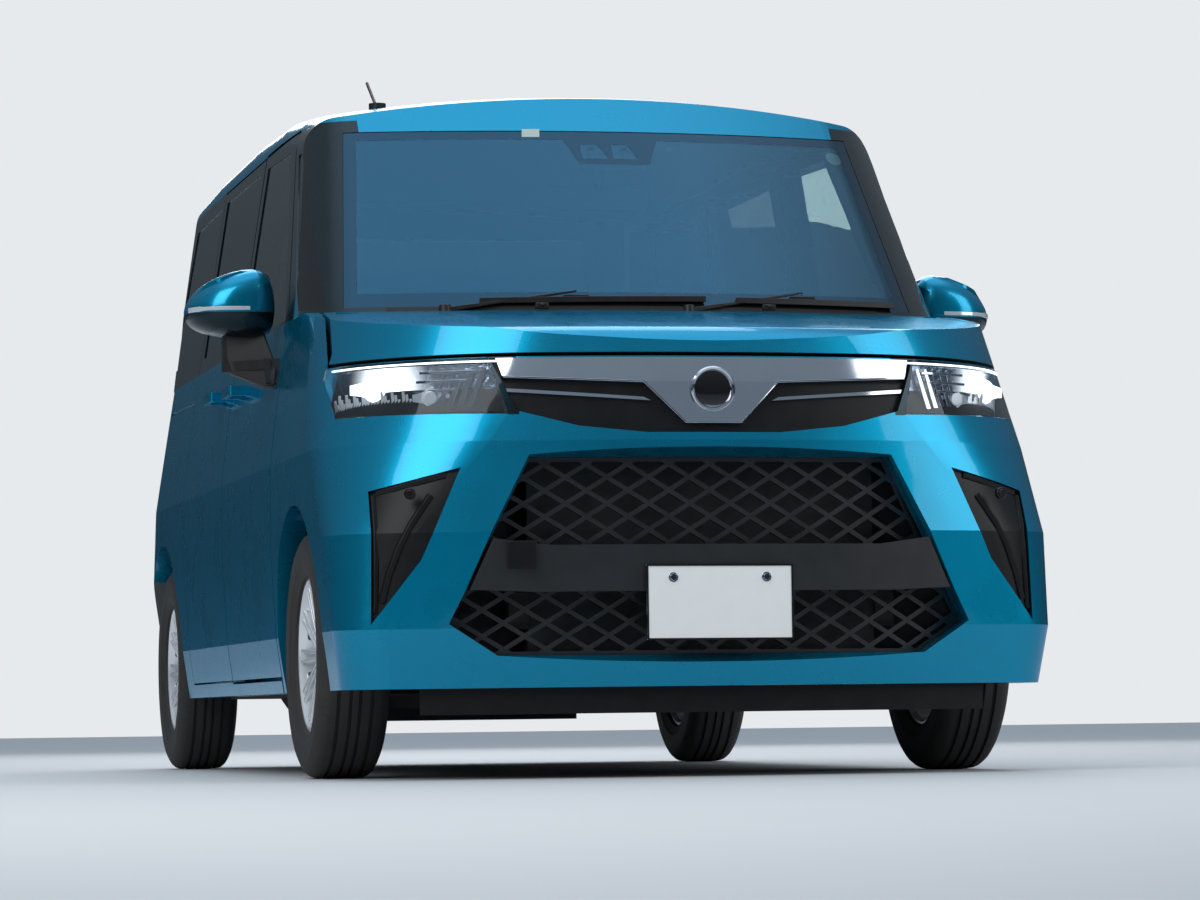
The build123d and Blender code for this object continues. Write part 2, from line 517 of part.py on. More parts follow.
floor -= rod("x", (0, REAR_AXLE_Y, TYRE_R), 50, 700)
save("floor_pan", largest(floor))

# Wheels
WHEELS = [("fl", FRONT_WHEEL_X, FRONT_AXLE_Y), ("fr", -FRONT_WHEEL_X, FRONT_AXLE_Y),
          ("rl", REAR_WHEEL_X, REAR_AXLE_Y), ("rr", -REAR_WHEEL_X, REAR_AXLE_Y)]
TYRE_PROFILE = [(-62, 178), (62, 178), (82.5, 228), (78, 266), (60, TYRE_R), (-60, TYRE_R), (-78, 266),
                (-82.5, 228)]
RIM_PROFILE = [(-62, 164), (62, 164), (62, 177.7), (-62, 177.7)]


def turned(profile):
    """Solid of revolution about X over an outline of (x, radius) points."""
    return Solid.revolve(Face(Wire.make_polygon([Vector(x, 0, r) for x, r in profile])), 360, Axis.X)


tyre = turned(TYRE_PROFILE)
cover = turned([(30, 0), (44, 0), (57, 166), (47, 166)])
window = Solid.extrude(Face(Wire.make_polygon([Vector(0, -13, 74), Vector(0, 13, 74), Vector(0, 34, 150),
                                               Vector(0, -34, 150)])), Vector(90, 0, 0))
for i in range(10):
    cover -= Rot(36 * i, 0, 0) * window
rim = turned(RIM_PROFILE) + cover + rod("x", (10, 0, 0), 56, 30)
rim -= rod("x", (-20, 0, 0), 25.3, 40)
for name, x, y in WHEELS:
    place = Pos(x, y, TYRE_R) * Rot(0, 0, 0 if x > 0 else 180)
    save(f"tyre_{name}", place * tyre)
    save(f"rim_{name}", place * rim)

# Steered knuckles: a kingpin between the arms and a stub for the wheel
KINGPIN_X = 690.0
kingpin = (KINGPIN_X, FRONT_AXLE_Y, TYRE_R)
knuckle = rod("z", kingpin, 16, 90) + rod("z", kingpin, 8, 123)
knuckle += rod("x", (KINGPIN_X + 28, FRONT_AXLE_Y, TYRE_R), 25, 32)
save("knuckle_l", knuckle)
save("knuckle_r", mirrored(knuckle))

# Front suspension: cross member, lower arms, struts in their towers
LOWER_ARM = [(KINGPIN_X + 22, -1152), (KINGPIN_X + 22, -1108), (400, -1060), (400, -1200)]
lower_arm = top_prism(LOWER_ARM, 160, 188)
upper_arm = box(540, KINGPIN_X + 20, FRONT_AXLE_Y - 18, FRONT_AXLE_Y + 18, 382, 408)
tower = rod("z", (562, FRONT_AXLE_Y, 560), 22, 180) + rod("z", (562, FRONT_AXLE_Y, 610), 42, 80)
tower += box(440, 640, -1220, -1040, 735, 760) + box(440, 455, -1220, -1040, 188, 760)
corner = (lower_arm + upper_arm + tower) - rod("z", (KINGPIN_X, FRONT_AXLE_Y, TYRE_R), 8 + PIN_PLAY, 200)
save("front_suspension", box(-455, 455, -1200, -1060, 215, 300) + corner + mirrored(corner))

# Rear axle: a beam between the wheel stubs, trailing arms and springs
rear_axle = rod("x", (0, REAR_AXLE_Y, TYRE_R), 32, 640) + rod("x", (0, REAR_AXLE_Y, TYRE_R), 25, 756)
for x in (-520, 520):
    rear_axle += side_prism([(900, 165), (900, 194.7), (945, 194.7), (1340, 310), (1380, 310), (1380, 260),
                             (1340, 260)], x - 25, x + 25)
    rear_axle += rod("z", (x, REAR_AXLE_Y, 350), 42, 39.7)
save("rear_axle", rear_axle)

# Engine and gearbox block, radiator, fuel tank and exhaust
save("engine_block", box(-330, 330, -1500, -1060, 300.3, 820), box(-396, 396, -1690, -1650, 260, 700))
exhaust = rod("y", (250, -300, 172.7), 22, 500) + box(170, 330, 180, 640, 150, 194.7)
exhaust += rod("y", (250, 900, 172.7), 22, 280)
muffler = fillet(box(-150, 400, 1480, 1680, 230, 389.7).edges().filter_by(Axis.X), 40)
save("exhaust", exhaust, muffler + rod("y", (350, 1690, 255), 20, 50))
save("fuel_tank", box(-420, 130, 250, 800, 130, 194.7))

# Cabin fittings
DASH_SIDE = [(-999.7, 760), (-999.7, 1049.7), (-760, 1040), (-640, 960), (-640, 800), (-760, 700)]
dash = side_prism(DASH_SIDE, -635, 635)
save("dashboard", dash)
SEAT_SIDE = [(-330, 470), (-300, 540), (180, 500), (330, 1060), (420, 1060), (260, 430), (-300, 430)]
seat = side_prism(SEAT_SIDE, 120, 600) + box(250, 470, 330, 420, 1040, 1260)
seat += box(160, 560, -250, 220, 225.3, 440)
BENCH_SIDE = [(560, 470), (580, 540), (1020, 510), (1150, 1020), (1230, 1020), (1100, 440), (600, 440)]
bench = side_prism(BENCH_SIDE, -560, 560) + box(-540, 540, 640, 920, 225.3, 450)
for x in (-400, 0, 400):
    bench += box(x - 110, x + 110, 1150, 1225, 1000, 1200)
save("seats", seat, mirrored(seat), bench)

# Steering wheel on its column
octagon = [(175, 13), (184.2, 9.2), (188, 0), (184.2, -9.2), (175, -13), (165.8, -9.2), (162, 0),
           (165.8, 9.2)]
ring = Solid.revolve(Face(Wire.make_polygon([Vector(r, 0, z) for r, z in octagon])), 360, Axis.Z)
wheel = ring + Cylinder(55, 36) + Box(335, 36, 12) + Pos(0, -90, 0) * Box(36, 160, 12)
wheel = Pos(-360, -560, 960) * Rot(65, 0, 0) * (wheel + Pos(0, 0, 110) * Cylinder(22, 200))
save("steering_wheel", largest(wheel - dash))

# Roof aerial
aerial = Pos(-450, -100, 1690) * Cylinder(22, 50)
aerial += Pos(-450, -100, 1700) * Rot(-60, 0, 0) * Pos(0, 0, 95) * Cylinder(4, 170)
save("antenna", largest(aerial - outer))
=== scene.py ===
from math import asin, atan2, cos, pi, radians, sin, sqrt

import bmesh
import bpy
from mathutils import Matrix, Vector
from mathutils.bvhtree import BVHTree


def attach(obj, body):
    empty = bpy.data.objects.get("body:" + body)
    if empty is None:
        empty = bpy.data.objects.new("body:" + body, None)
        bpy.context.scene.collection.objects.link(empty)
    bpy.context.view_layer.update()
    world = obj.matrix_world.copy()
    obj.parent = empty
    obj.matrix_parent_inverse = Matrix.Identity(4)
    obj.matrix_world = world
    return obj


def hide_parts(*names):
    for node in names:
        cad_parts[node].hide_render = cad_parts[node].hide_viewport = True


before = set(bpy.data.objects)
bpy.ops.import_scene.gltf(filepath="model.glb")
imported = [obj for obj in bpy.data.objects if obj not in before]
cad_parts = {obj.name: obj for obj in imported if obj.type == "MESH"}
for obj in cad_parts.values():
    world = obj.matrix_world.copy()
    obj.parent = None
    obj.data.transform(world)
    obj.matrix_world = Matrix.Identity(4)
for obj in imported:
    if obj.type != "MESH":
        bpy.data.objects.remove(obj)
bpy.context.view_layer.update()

# The viewpoint: a long lens low down in front of the car's right corner, as the photograph has it.
CAMERA_PLACE = (-2.353, -11.256, 0.136)
CAMERA_YAW, CAMERA_PITCH, CAMERA_ROLL = radians(12.524), radians(3.442), radians(-0.7256)
CAMERA_LENS = 132.73

ahead = Vector((sin(CAMERA_YAW) * cos(CAMERA_PITCH), cos(CAMERA_YAW) * cos(CAMERA_PITCH), sin(CAMERA_PITCH)))
level = Vector((cos(CAMERA_YAW), -sin(CAMERA_YAW), 0))
upright = level.cross(ahead)
across = level * cos(CAMERA_ROLL) + upright * sin(CAMERA_ROLL)
upward = upright * cos(CAMERA_ROLL) - level * sin(CAMERA_ROLL)
camera = bpy.data.objects.new("camera", bpy.data.cameras.new("camera"))
camera.data.sensor_width = 36
camera.data.lens = CAMERA_LENS
camera.data.clip_end = 100
camera.matrix_world = Matrix.Translation(CAMERA_PLACE) @ Matrix((across, upward, -ahead)).transposed().to_4x4()
bpy.context.scene.collection.objects.link(camera)
bpy.context.scene.camera = camera

# The studio: a pale floor and broad soft lamps under a sky that is pale overhead and dimmer at the horizon. The
# floor keeps the car's shadow, and the sky shows white to the camera.
bpy.context.scene.view_settings.view_transform = "Standard"


def new_material(name):
    """A node material with its node tree and its shader."""
    material = bpy.data.materials.new(name)
    material.use_nodes = True
    return material, material.node_tree, material.node_tree.nodes["Principled BSDF"]


mesh = bmesh.new()
bmesh.ops.create_grid(mesh, x_segments=1, y_segments=1, size=30)
floor_data = bpy.data.meshes.new("studio_floor")
mesh.to_mesh(floor_data)
mesh.free()
floor = bpy.data.objects.new("studio_floor", floor_data)
bpy.context.scene.collection.objects.link(floor)
floor_finish, tree, shader = new_material("studio_floor")
shader.inputs["Base Color"].default_value = (0.52, 0.53, 0.54, 1)
shader.inputs["Roughness"].default_value = 0.7
floor_data.materials.append(floor_finish)

LAMPS = [
    # name, place, aimed at, size, watts
    ("key", (-5.0, -5.5, 4.6), (0, -0.6, 0.7), 5.0, 300),
    ("fill", (5.5, -5.0, 3.2), (0, -0.4, 0.7), 4.0, 150),
    ("top", (0, 3.2, 6.0), (0, 0.4, 0.8), 4.0, 130),
    ("rear", (1.5, 6.5, 4.0), (0, 0.8, 0.8), 4.0, 130),
]
for name, place, target, size, watts in LAMPS:
    lamp = bpy.data.objects.new(name, bpy.data.lights.new(name, "AREA"))
    lamp.data.size = size
    lamp.data.energy = watts
    lamp.location = place
    lamp.rotation_euler = (Vector(target) - Vector(place)).to_track_quat("-Z", "Y").to_euler()
    bpy.context.scene.collection.objects.link(lamp)

world = bpy.data.worlds.new("studio")
world.use_nodes = True
bpy.context.scene.world = world
sky = world.node_tree
background = sky.nodes["Background"]
overhead = sky.nodes.new("ShaderNodeTexCoord")
height = sky.nodes.new("ShaderNodeSeparateXYZ")
fade = sky.nodes.new("ShaderNodeValToRGB")
fade.color_ramp.elements[0].position, fade.color_ramp.elements[0].color = 0.03, (0.022, 0.034, 0.042, 1)
fade.color_ramp.elements[1].position, fade.color_ramp.elements[1].color = 0.80, (0.38, 0.45, 0.52, 1)
fade.color_ramp.elements.new(0.94).color = (1.25, 1.45, 1.65, 1)
sky.links.new(overhead.outputs["Generated"], height.inputs[0])
sky.links.new(height.outputs[2], fade.inputs[0])
sky.links.new(fade.outputs[0], background.inputs["Color"])
background.inputs["Strength"].default_value = 1.0
pale = sky.nodes.new("ShaderNodeBackground")
pale.inputs["Color"].default_value = (0.80, 0.82, 0.84, 1)
path = sky.nodes.new("ShaderNodeLightPath")
mix = sky.nodes.new("ShaderNodeMixShader")
sky.links.new(path.outputs["Is Camera Ray"], mix.inputs["Fac"])
sky.links.new(background.outputs[0], mix.inputs[1])
sky.links.new(pale.outputs[0], mix.inputs[2])
sky.links.new(mix.outputs[0], sky.nodes["World Output"].inputs["Surface"])

# Body panels: pressed steel and moulded bumpers in one metallic turquoise under clear lacquer. The faces
# that look into the car are trim, and the window band round the side glass is gloss black.
TURQUOISE = (0.001, 0.215, 0.375, 1)
TURQUOISE_FLAKE = (0.008, 0.44, 0.64, 1)
GLOSS_BLACK = (0.004, 0.0045, 0.006, 1)
CABIN_GREY = (0.10, 0.105, 0.11, 1)
BAND_FOOT, BAND_HEAD, BAND_REAR, BAND_OUT = 1.088, 1.594, 1.535, 0.802


def maths(tree, operation, *values):
    """A Math node on numbers and sockets, giving its output."""
    node = tree.nodes.new("ShaderNodeMath")
    node.operation = operation
    for socket, value in zip(node.inputs, values):
        if isinstance(value, (int, float)):
            socket.default_value = value
        else:
            tree.links.new(value, socket)
    return node.outputs[0]


def blend_colours(tree, share, first, second):
    """A colour Mix node between two colours or sockets, giving its output."""
    node = tree.nodes.new("ShaderNodeMix")
    node.data_type = "RGBA"
    tree.links.new(share, node.inputs[0])
    for socket, value in ((node.inputs[6], first), (node.inputs[7], second)):
        if isinstance(value, tuple):
            socket.default_value = value
        else:
            tree.links.new(value, socket)
    return node.outputs[2]


def split(tree, output):
    """The X, Y and Z of one Texture Coordinate output."""
    source = tree.nodes.new("ShaderNodeTexCoord")
    node = tree.nodes.new("ShaderNodeSeparateXYZ")
    tree.links.new(source.outputs[output], node.inputs[0])
    return node.outputs


def noise(tree, scale, detail=4):
    """Noise on the piece's own coordinates, from 0 to 1."""
    source = tree.nodes.new("ShaderNodeTexCoord")
    node = tree.nodes.new("ShaderNodeTexNoise")
    node.inputs["Scale"].default_value = scale
    node.inputs["Detail"].default_value = detail
    tree.links.new(source.outputs["Object"], node.inputs["Vector"])
    return node.outputs["Fac"]


def relief(tree, shader, height, depth, strength=1.0):
    """Bump from a height socket, depth in metres."""
    node = tree.nodes.new("ShaderNodeBump")
    node.inputs["Strength"].default_value = strength
    node.inputs["Distance"].default_value = depth
    tree.links.new(height, node.inputs["Height"])
    tree.links.new(node.outputs["Normal"], shader.inputs["Normal"])


def spread(tree, value, low, high):
    """A 0 to 1 socket spread between two numbers."""
    node = tree.nodes.new("ShaderNodeMapRange")
    node.inputs["To Min"].default_value = low
    node.inputs["To Max"].default_value = high
    tree.links.new(value, node.inputs["Value"])
    return node.outputs["Result"]


def lacquered(name, inward, band=False, lamp_edge=False, foot=None):
    """Metallic paint whose faces that look inwards along one axis are cabin trim. band blackens the window band,
    lamp_edge the nose between each headlamp and the grille, and foot all below that height."""
    material, tree, shader = new_material(name)
    place, facing = split(tree, "Object"), split(tree, "Normal")
    cell = tree.nodes.new("ShaderNodeTexVoronoi")
    cell.inputs["Scale"].default_value = 900
    coords = tree.nodes.new("ShaderNodeTexCoord")
    tree.links.new(coords.outputs["Object"], cell.inputs["Vector"])
    sparkle = maths(tree, "POWER", cell.outputs["Color"], 3.0)
    cloud = spread(tree, noise(tree, 1.5, 1), 0.0, 0.14)
    colour = blend_colours(tree, maths(tree, "ADD", maths(tree, "MULTIPLY", sparkle, 0.22), cloud),
                           TURQUOISE, TURQUOISE_FLAKE)
    middle = 0.9 if inward == 2 else 0.0
    outside = maths(tree, "SIGN", maths(tree, "SUBTRACT", place[inward], middle))
    inner = maths(tree, "LESS_THAN", maths(tree, "MULTIPLY", outside, facing[inward]), -0.3)
    metal = maths(tree, "SUBTRACT", 1.0, inner)
    if lamp_edge:
        out = maths(tree, "ABSOLUTE", place[0])
        lamp = maths(tree, "ADD", maths(tree, "MULTIPLY", maths(tree, "SUBTRACT", place[2], 0.800), 0.2835), 0.4525)
        black = maths(tree, "MULTIPLY", maths(tree, "LESS_THAN", out, lamp), maths(tree, "GREATER_THAN", out, 0.428))
        black = maths(tree, "MULTIPLY", black, maths(tree, "LESS_THAN", place[1], -1.6))
        middle = maths(tree, "ABSOLUTE", maths(tree, "SUBTRACT", place[2], 0.864))
        black = maths(tree, "MULTIPLY", black, maths(tree, "LESS_THAN", middle, 0.066))
        colour = blend_colours(tree, black, colour, GLOSS_BLACK)
        metal = maths(tree, "MULTIPLY", metal, maths(tree, "SUBTRACT", 1.0, black))
    if band:
        above = maths(tree, "GREATER_THAN", place[2], BAND_FOOT)
        below = maths(tree, "LESS_THAN", place[2], BAND_HEAD)
        ahead_of = maths(tree, "LESS_THAN", place[1], BAND_REAR)
        beside = maths(tree, "LESS_THAN", maths(tree, "ABSOLUTE", place[0]), BAND_OUT)
        black = maths(tree, "MULTIPLY", maths(tree, "MULTIPLY", above, below), maths(tree, "MULTIPLY", ahead_of, beside))
        colour = blend_colours(tree, black, colour, GLOSS_BLACK)
        metal = maths(tree, "MULTIPLY", metal, maths(tree, "SUBTRACT", 1.0, black))
    if foot:
        black = maths(tree, "LESS_THAN", place[2], foot)
        colour = blend_colours(tree, black, colour, GLOSS_BLACK)
        metal = maths(tree, "SUBTRACT", 1.0, black)
        inner = maths(tree, "MULTIPLY", inner, 0.0)
    colour = blend_colours(tree, inner, colour, CABIN_GREY)
    tree.links.new(colour, shader.inputs["Base Color"])
    tree.links.new(maths(tree, "MULTIPLY", metal, 0.78), shader.inputs["Metallic"])
    dust = spread(tree, noise(tree, 7, 6), 0.22, 0.34)
    tree.links.new(maths(tree, "ADD", dust, maths(tree, "MULTIPLY", inner, 0.35)), shader.inputs["Roughness"])
    tree.links.new(maths(tree, "MULTIPLY", maths(tree, "SUBTRACT", 1.0, inner), 0.5), shader.inputs["Coat Weight"])
    shader.inputs["Coat Roughness"].default_value = 0.035
    shader.inputs["Coat IOR"].default_value = 1.45
    shader.inputs["Specular IOR Level"].default_value = 0.3
    shader.inputs["Specular Tint"].default_value = (0.03, 0.55, 0.80, 1)
    relief(tree, shader, noise(tree, 260, 2), 0.00002, 0.3)
    return material


def dress(finish, *nodes):
    """Give CAD nodes one finish."""
    for node in nodes:
        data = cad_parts[node].data
        data.materials.clear()
        data.materials.append(finish)


dress(lacquered("paint_sides", 0, True), "front_door_l", "front_door_r", "sliding_doors", "body_side_l", "body_side_r")
dress(lacquered("paint_wings", 0), "fenders")
dress(lacquered("paint_roof", 2), "roof_panel", "bonnet")
dress(lacquered("paint_nose", 1, lamp_edge=True), "front_bumper")
dress(lacquered("paint_tail", 1), "rear_bumper", "tailgate")

# Glass: laminated windscreen and tempered side panes, green-grey, with dark privacy panes behind the front
# doors. A black ceramic border is fired on round the windscreen's edge, and over the camera.
SCREEN_FOOT, SCREEN_HEAD = 1.100, 1.562
SCREEN_HALF, SCREEN_NARROWING = 0.692, 0.130
CLEAR_TINT, PRIVACY_TINT = (0.42, 0.56, 0.58, 1), (0.06, 0.068, 0.074, 1)


def glazing(name, tint, ceramic=None, ior=1.5, reflected=(1, 1, 1, 1), clear=1.0):
    """Clear glass, black where ceramic(tree, place) gives one."""
    material, tree, shader = new_material(name)
    shader.inputs["IOR"].default_value = ior
    shader.inputs["Specular Tint"].default_value = reflected
    cast = blend_colours(tree, noise(tree, 3, 2), tint, tuple(v * 0.94 for v in tint[:3]) + (1,))
    if ceramic:
        black = ceramic(tree, split(tree, "Object"))
        cast = blend_colours(tree, black, cast, (0.008, 0.008, 0.009, 1))
        tree.links.new(maths(tree, "SUBTRACT", 1.0, black), shader.inputs["Transmission Weight"])
        tree.links.new(spread(tree, black, 0.0, 0.12), shader.inputs["Roughness"])
    else:
        shader.inputs["Transmission Weight"].default_value = clear
        shader.inputs["Roughness"].default_value = 0.0
    tree.links.new(cast, shader.inputs["Base Color"])
    return material


def any_of(tree, first, *others):
    """1 where any of the sockets is 1."""
    for other in others:
        first = maths(tree, "MAXIMUM", first, other)
    return first


def screen_border(tree, place):
    """The windscreen's border, wider along the wipers, and the trapezium in front of the camera."""
    half = maths(tree, "ABSOLUTE", place[0])
    edge = maths(tree, "ADD", half, maths(tree, "MULTIPLY", maths(tree, "SUBTRACT", place[2], SCREEN_FOOT),
                                          SCREEN_NARROWING))
    low = maths(tree, "LESS_THAN", place[2], SCREEN_FOOT + 0.034)
    high = maths(tree, "GREATER_THAN", place[2], SCREEN_HEAD - 0.022)
    ends = maths(tree, "GREATER_THAN", edge, SCREEN_HALF - 0.030)
    middle = maths(tree, "ABSOLUTE", maths(tree, "SUBTRACT", place[0], 0.008))
    lean = maths(tree, "MULTIPLY", maths(tree, "SUBTRACT", place[2], 1.475), 0.45)
    plinth = maths(tree, "MULTIPLY", maths(tree, "LESS_THAN", middle, maths(tree, "ADD", lean, 0.088)),
                   maths(tree, "GREATER_THAN", place[2], 1.475))
    for left, right in ((-0.070, -0.028), (0.008, 0.047)):
        slant = maths(tree, "MULTIPLY", maths(tree, "SUBTRACT", 1.527, place[2]), 0.6)
        pane = maths(tree, "MULTIPLY", maths(tree, "GREATER_THAN", place[0], left),
                     maths(tree, "LESS_THAN", place[0], maths(tree, "ADD", slant, right)))
        level = maths(tree, "LESS_THAN", maths(tree, "ABSOLUTE", maths(tree, "SUBTRACT", place[2], 1.5075)), 0.0195)
        plinth = maths(tree, "SUBTRACT", plinth, maths(tree, "MULTIPLY", pane, level))
    return any_of(tree, low, high, ends, plinth)


dress(glazing("windscreen_glass", CLEAR_TINT, screen_border, 1.9, (0.10, 0.48, 0.85, 1)), "windscreen")
dress(glazing("door_glass", (0.36, 0.42, 0.41, 1)), "front_door_glass_l", "front_door_glass_r")
dress(glazing("privacy_glass", PRIVACY_TINT), "side_glasses", "tailgate_glass")

# Black plastics: textured cowl, mirror feet and aerial; smooth grille panels, bezels and the lower mesh with
# its plate bar. They are moulded, so their gloss varies a little and their grain is fine.


def moulded(name, colour, other, scale, gloss, depth, metal=0.0, coat=0.0, grain=700, shine=0.3):
    """A finish whose colour and gloss drift with a noise, over a fine grain."""
    material, tree, shader = new_material(name)
    drift = noise(tree, scale, 6)
    tree.links.new(blend_colours(tree, drift, colour, other), shader.inputs["Base Color"])
    tree.links.new(spread(tree, drift, *gloss), shader.inputs["Roughness"])
    shader.inputs["Metallic"].default_value = metal
    shader.inputs["Specular IOR Level"].default_value = shine
    shader.inputs["Coat Weight"].default_value = coat
    relief(tree, shader, noise(tree, grain, 2), depth)
    return material


grained_black = moulded("grained_black", (0.006, 0.006, 0.007, 1), (0.013, 0.013, 0.014, 1), 30, (0.45, 0.62), 0.0002)
piano_black = moulded("piano_black", (0.006, 0.006, 0.007, 1), (0.010, 0.010, 0.012, 1), 12, (0.10, 0.22), 0.00002,
                      coat=0.6)
satin_black = moulded("satin_black", (0.005, 0.0055, 0.006, 1), (0.010, 0.011, 0.012, 1), 20, (0.28, 0.42), 0.00008,
                       shine=0.18)
bright_plating = moulded("bright_plating", (0.60, 0.64, 0.70, 1), (0.50, 0.54, 0.61, 1), 8, (0.04, 0.10), 0.00001,
                         metal=1.0)
dress(grained_black, "cowl", "mirror_l", "mirror_r", "antenna")
dress(satin_black, "nose_trim")
dress(moulded("mesh_black", (0.010, 0.0105, 0.012, 1), (0.016, 0.017, 0.019, 1), 20, (0.25, 0.40), 0.00008, shine=0.5),
      "lower_grille")
dress(bright_plating, "grille_trim")

# Under the car: a coated floor, cast and welded chassis parts, the power unit's block, a galvanised exhaust
# and a blow-moulded tank. Road dirt dulls them all.
dress(moulded("floor_coating", (0.020, 0.022, 0.024, 1), (0.045, 0.042, 0.038, 1), 6, (0.6, 0.85), 0.0006, grain=220),
      "floor_pan")
dress(moulded("chassis_paint", (0.014, 0.014, 0.015, 1), (0.040, 0.036, 0.032, 1), 14, (0.4, 0.7), 0.0003), "knuckle_l",
      "knuckle_r", "front_suspension", "rear_axle")
dress(moulded("cast_alloy", (0.050, 0.052, 0.055, 1), (0.022, 0.023, 0.025, 1), 18, (0.5, 0.7), 0.0005, metal=0.5),
      "engine_block")
dress(moulded("exhaust_steel", (0.34, 0.33, 0.31, 1), (0.18, 0.15, 0.12, 1), 10, (0.35, 0.6), 0.0002, metal=0.9),
      "exhaust")
dress(moulded("tank_plastic", (0.016, 0.016, 0.017, 1), (0.03, 0.03, 0.03, 1), 9, (0.45, 0.6), 0.0003), "fuel_tank")

# Lamps: clear lenses over the housings behind them
dress(glazing("lamp_lens", (0.96, 0.98, 1.0, 1), None, 1.35, (0.4, 0.45, 0.5, 1)), "headlamps")
tail_lens = glazing("tail_lens", (0.62, 0.012, 0.012, 1), clear=0.6)
dress(tail_lens, "tail_lamps")
dress(satin_black, "lamp_housings")

# Number plate: a blank pressed sheet
dress(moulded("plate_enamel", (0.80, 0.81, 0.80, 1), (0.74, 0.75, 0.74, 1), 25, (0.3, 0.4), 0.00005), "number_plate")

# Cabin
dash_plastic = moulded("dash_plastic", (0.012, 0.012, 0.014, 1), (0.022, 0.022, 0.024, 1), 30, (0.5, 0.7), 0.0003)
dress(dash_plastic, "dashboard", "steering_wheel")

# Wipers: two steel arms on pivots in the cowl, each with a rubber blade in a bowed carrier, lying parked along
# the foot of the windscreen. The washer's two nozzles stand beside them.
SCREEN_R, SCREEN_LEAN = 2.15, 0.803
ARMS = [
    # arm's foot, arm's tip, blade's ends in x, blade's ends in z
    ((-0.464, -1.098, 1.090), (-0.154, -1.124, 1.135), (-0.381, 0.157), (1.112, 1.118)),
    ((0.115, -1.136, 1.090), (0.405, -1.090, 1.138), (0.232, 0.640), (1.116, 1.114)),
]


def on_screen(x, z, proud=0.0):
    """A point of the windscreen's outer surface, or one in front of it."""
    reach = SCREEN_R + proud
    return Vector((x, 1.002 + SCREEN_LEAN * (z - 1.085) - sqrt(reach ** 2 - x ** 2), z))


def make_piece(mesh, name, body, finish, bevel=0.0, segments=2, levels=0):
    """The finished object of a bmesh, riding on a body of the frame."""
    bmesh.ops.remove_doubles(mesh, verts=mesh.verts, dist=0.00001)
    bmesh.ops.recalc_face_normals(mesh, faces=mesh.faces)
    data = bpy.data.meshes.new(name)
    mesh.to_mesh(data)
    mesh.free()
    data.materials.append(finish)
    data.shade_smooth()
    data.set_sharp_from_angle(angle=radians(38))
    made = bpy.data.objects.new(name, data)
    bpy.context.scene.collection.objects.link(made)
    if bevel:
        rounding = made.modifiers.new("rounding", "BEVEL")
        rounding.width = bevel
        rounding.segments = segments
        rounding.limit_method = "ANGLE"
        rounding.angle_limit = radians(38)
    if levels:
        smooth = made.modifiers.new("smooth", "SUBSURF")
        smooth.levels = smooth.render_levels = levels
    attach(made, body)
    return made


def add_bar(mesh, start, end, width, height, narrow=1.0):
    """A bar between two points, its far end narrowed."""
    start, end = Vector(start), Vector(end)
    turn = (end - start).to_track_quat("Z", "Y").to_matrix().to_4x4()
    bar = bmesh.ops.create_cube(mesh, size=1)["verts"]
    bmesh.ops.scale(mesh, verts=bar, vec=(width, height, (end - start).length))
    far = [corner for corner in bar if corner.co.z > 0]
    bmesh.ops.scale(mesh, verts=far, vec=(narrow, narrow, 1))
    bmesh.ops.transform(mesh, verts=bar, matrix=Matrix.Translation((start + end) / 2) @ turn)
    return bar


def add_disc(mesh, centre, axis, radius, thick, sides=32, narrow=1.0):
    """A short cylinder about an axis, its far end narrowed."""
    turn = Vector(axis).to_track_quat("Z", "Y").to_matrix().to_4x4()
    return bmesh.ops.create_cone(mesh, cap_ends=True, segments=sides, radius1=radius, radius2=radius * narrow,
                                 depth=thick, matrix=Matrix.Translation(centre) @ turn)["verts"]


def add_curved(mesh, centre, reach, start, end, low, high, thick, steps=16, rise=(0, 0, 0)):
    """A wall bent about a vertical axis: from one angle to another, between two heights, thick inwards."""
    wall = bmesh.ops.create_grid(mesh, x_segments=1, y_segments=1, size=0.5)["verts"]
    place = (Matrix.Translation((centre[0], centre[1], 0)) @ Matrix.Rotation(start, 4, "Z")
             @ Matrix.Translation((0, thick / 2 - reach, (low + high) / 2)) @ Matrix.Rotation(pi / 2, 4, "Y"))
    bmesh.ops.scale(mesh, verts=wall, vec=(high - low, thick, 1))
    bmesh.ops.transform(mesh, verts=wall, matrix=place)
    face = wall[0].link_faces[0]
    bmesh.ops.spin(mesh, geom=[face, *face.edges, *face.verts], cent=(centre[0], centre[1], 0), axis=(0, 0, 1),
                   angle=end - start, steps=steps, dvec=[part / steps for part in rise])


def add_loft(mesh, rings):
    """A skin over closed rings of equally many points, capped at both ends."""
    loops = [[mesh.verts.new(point) for point in ring] for ring in rings]
    for near, far in zip(loops, loops[1:]):
        for place, corner in enumerate(near):
            mesh.faces.new((near[place - 1], corner, far[place], far[place - 1]))
    for loop in (loops[0], loops[-1]):
        mesh.faces.new(loop)


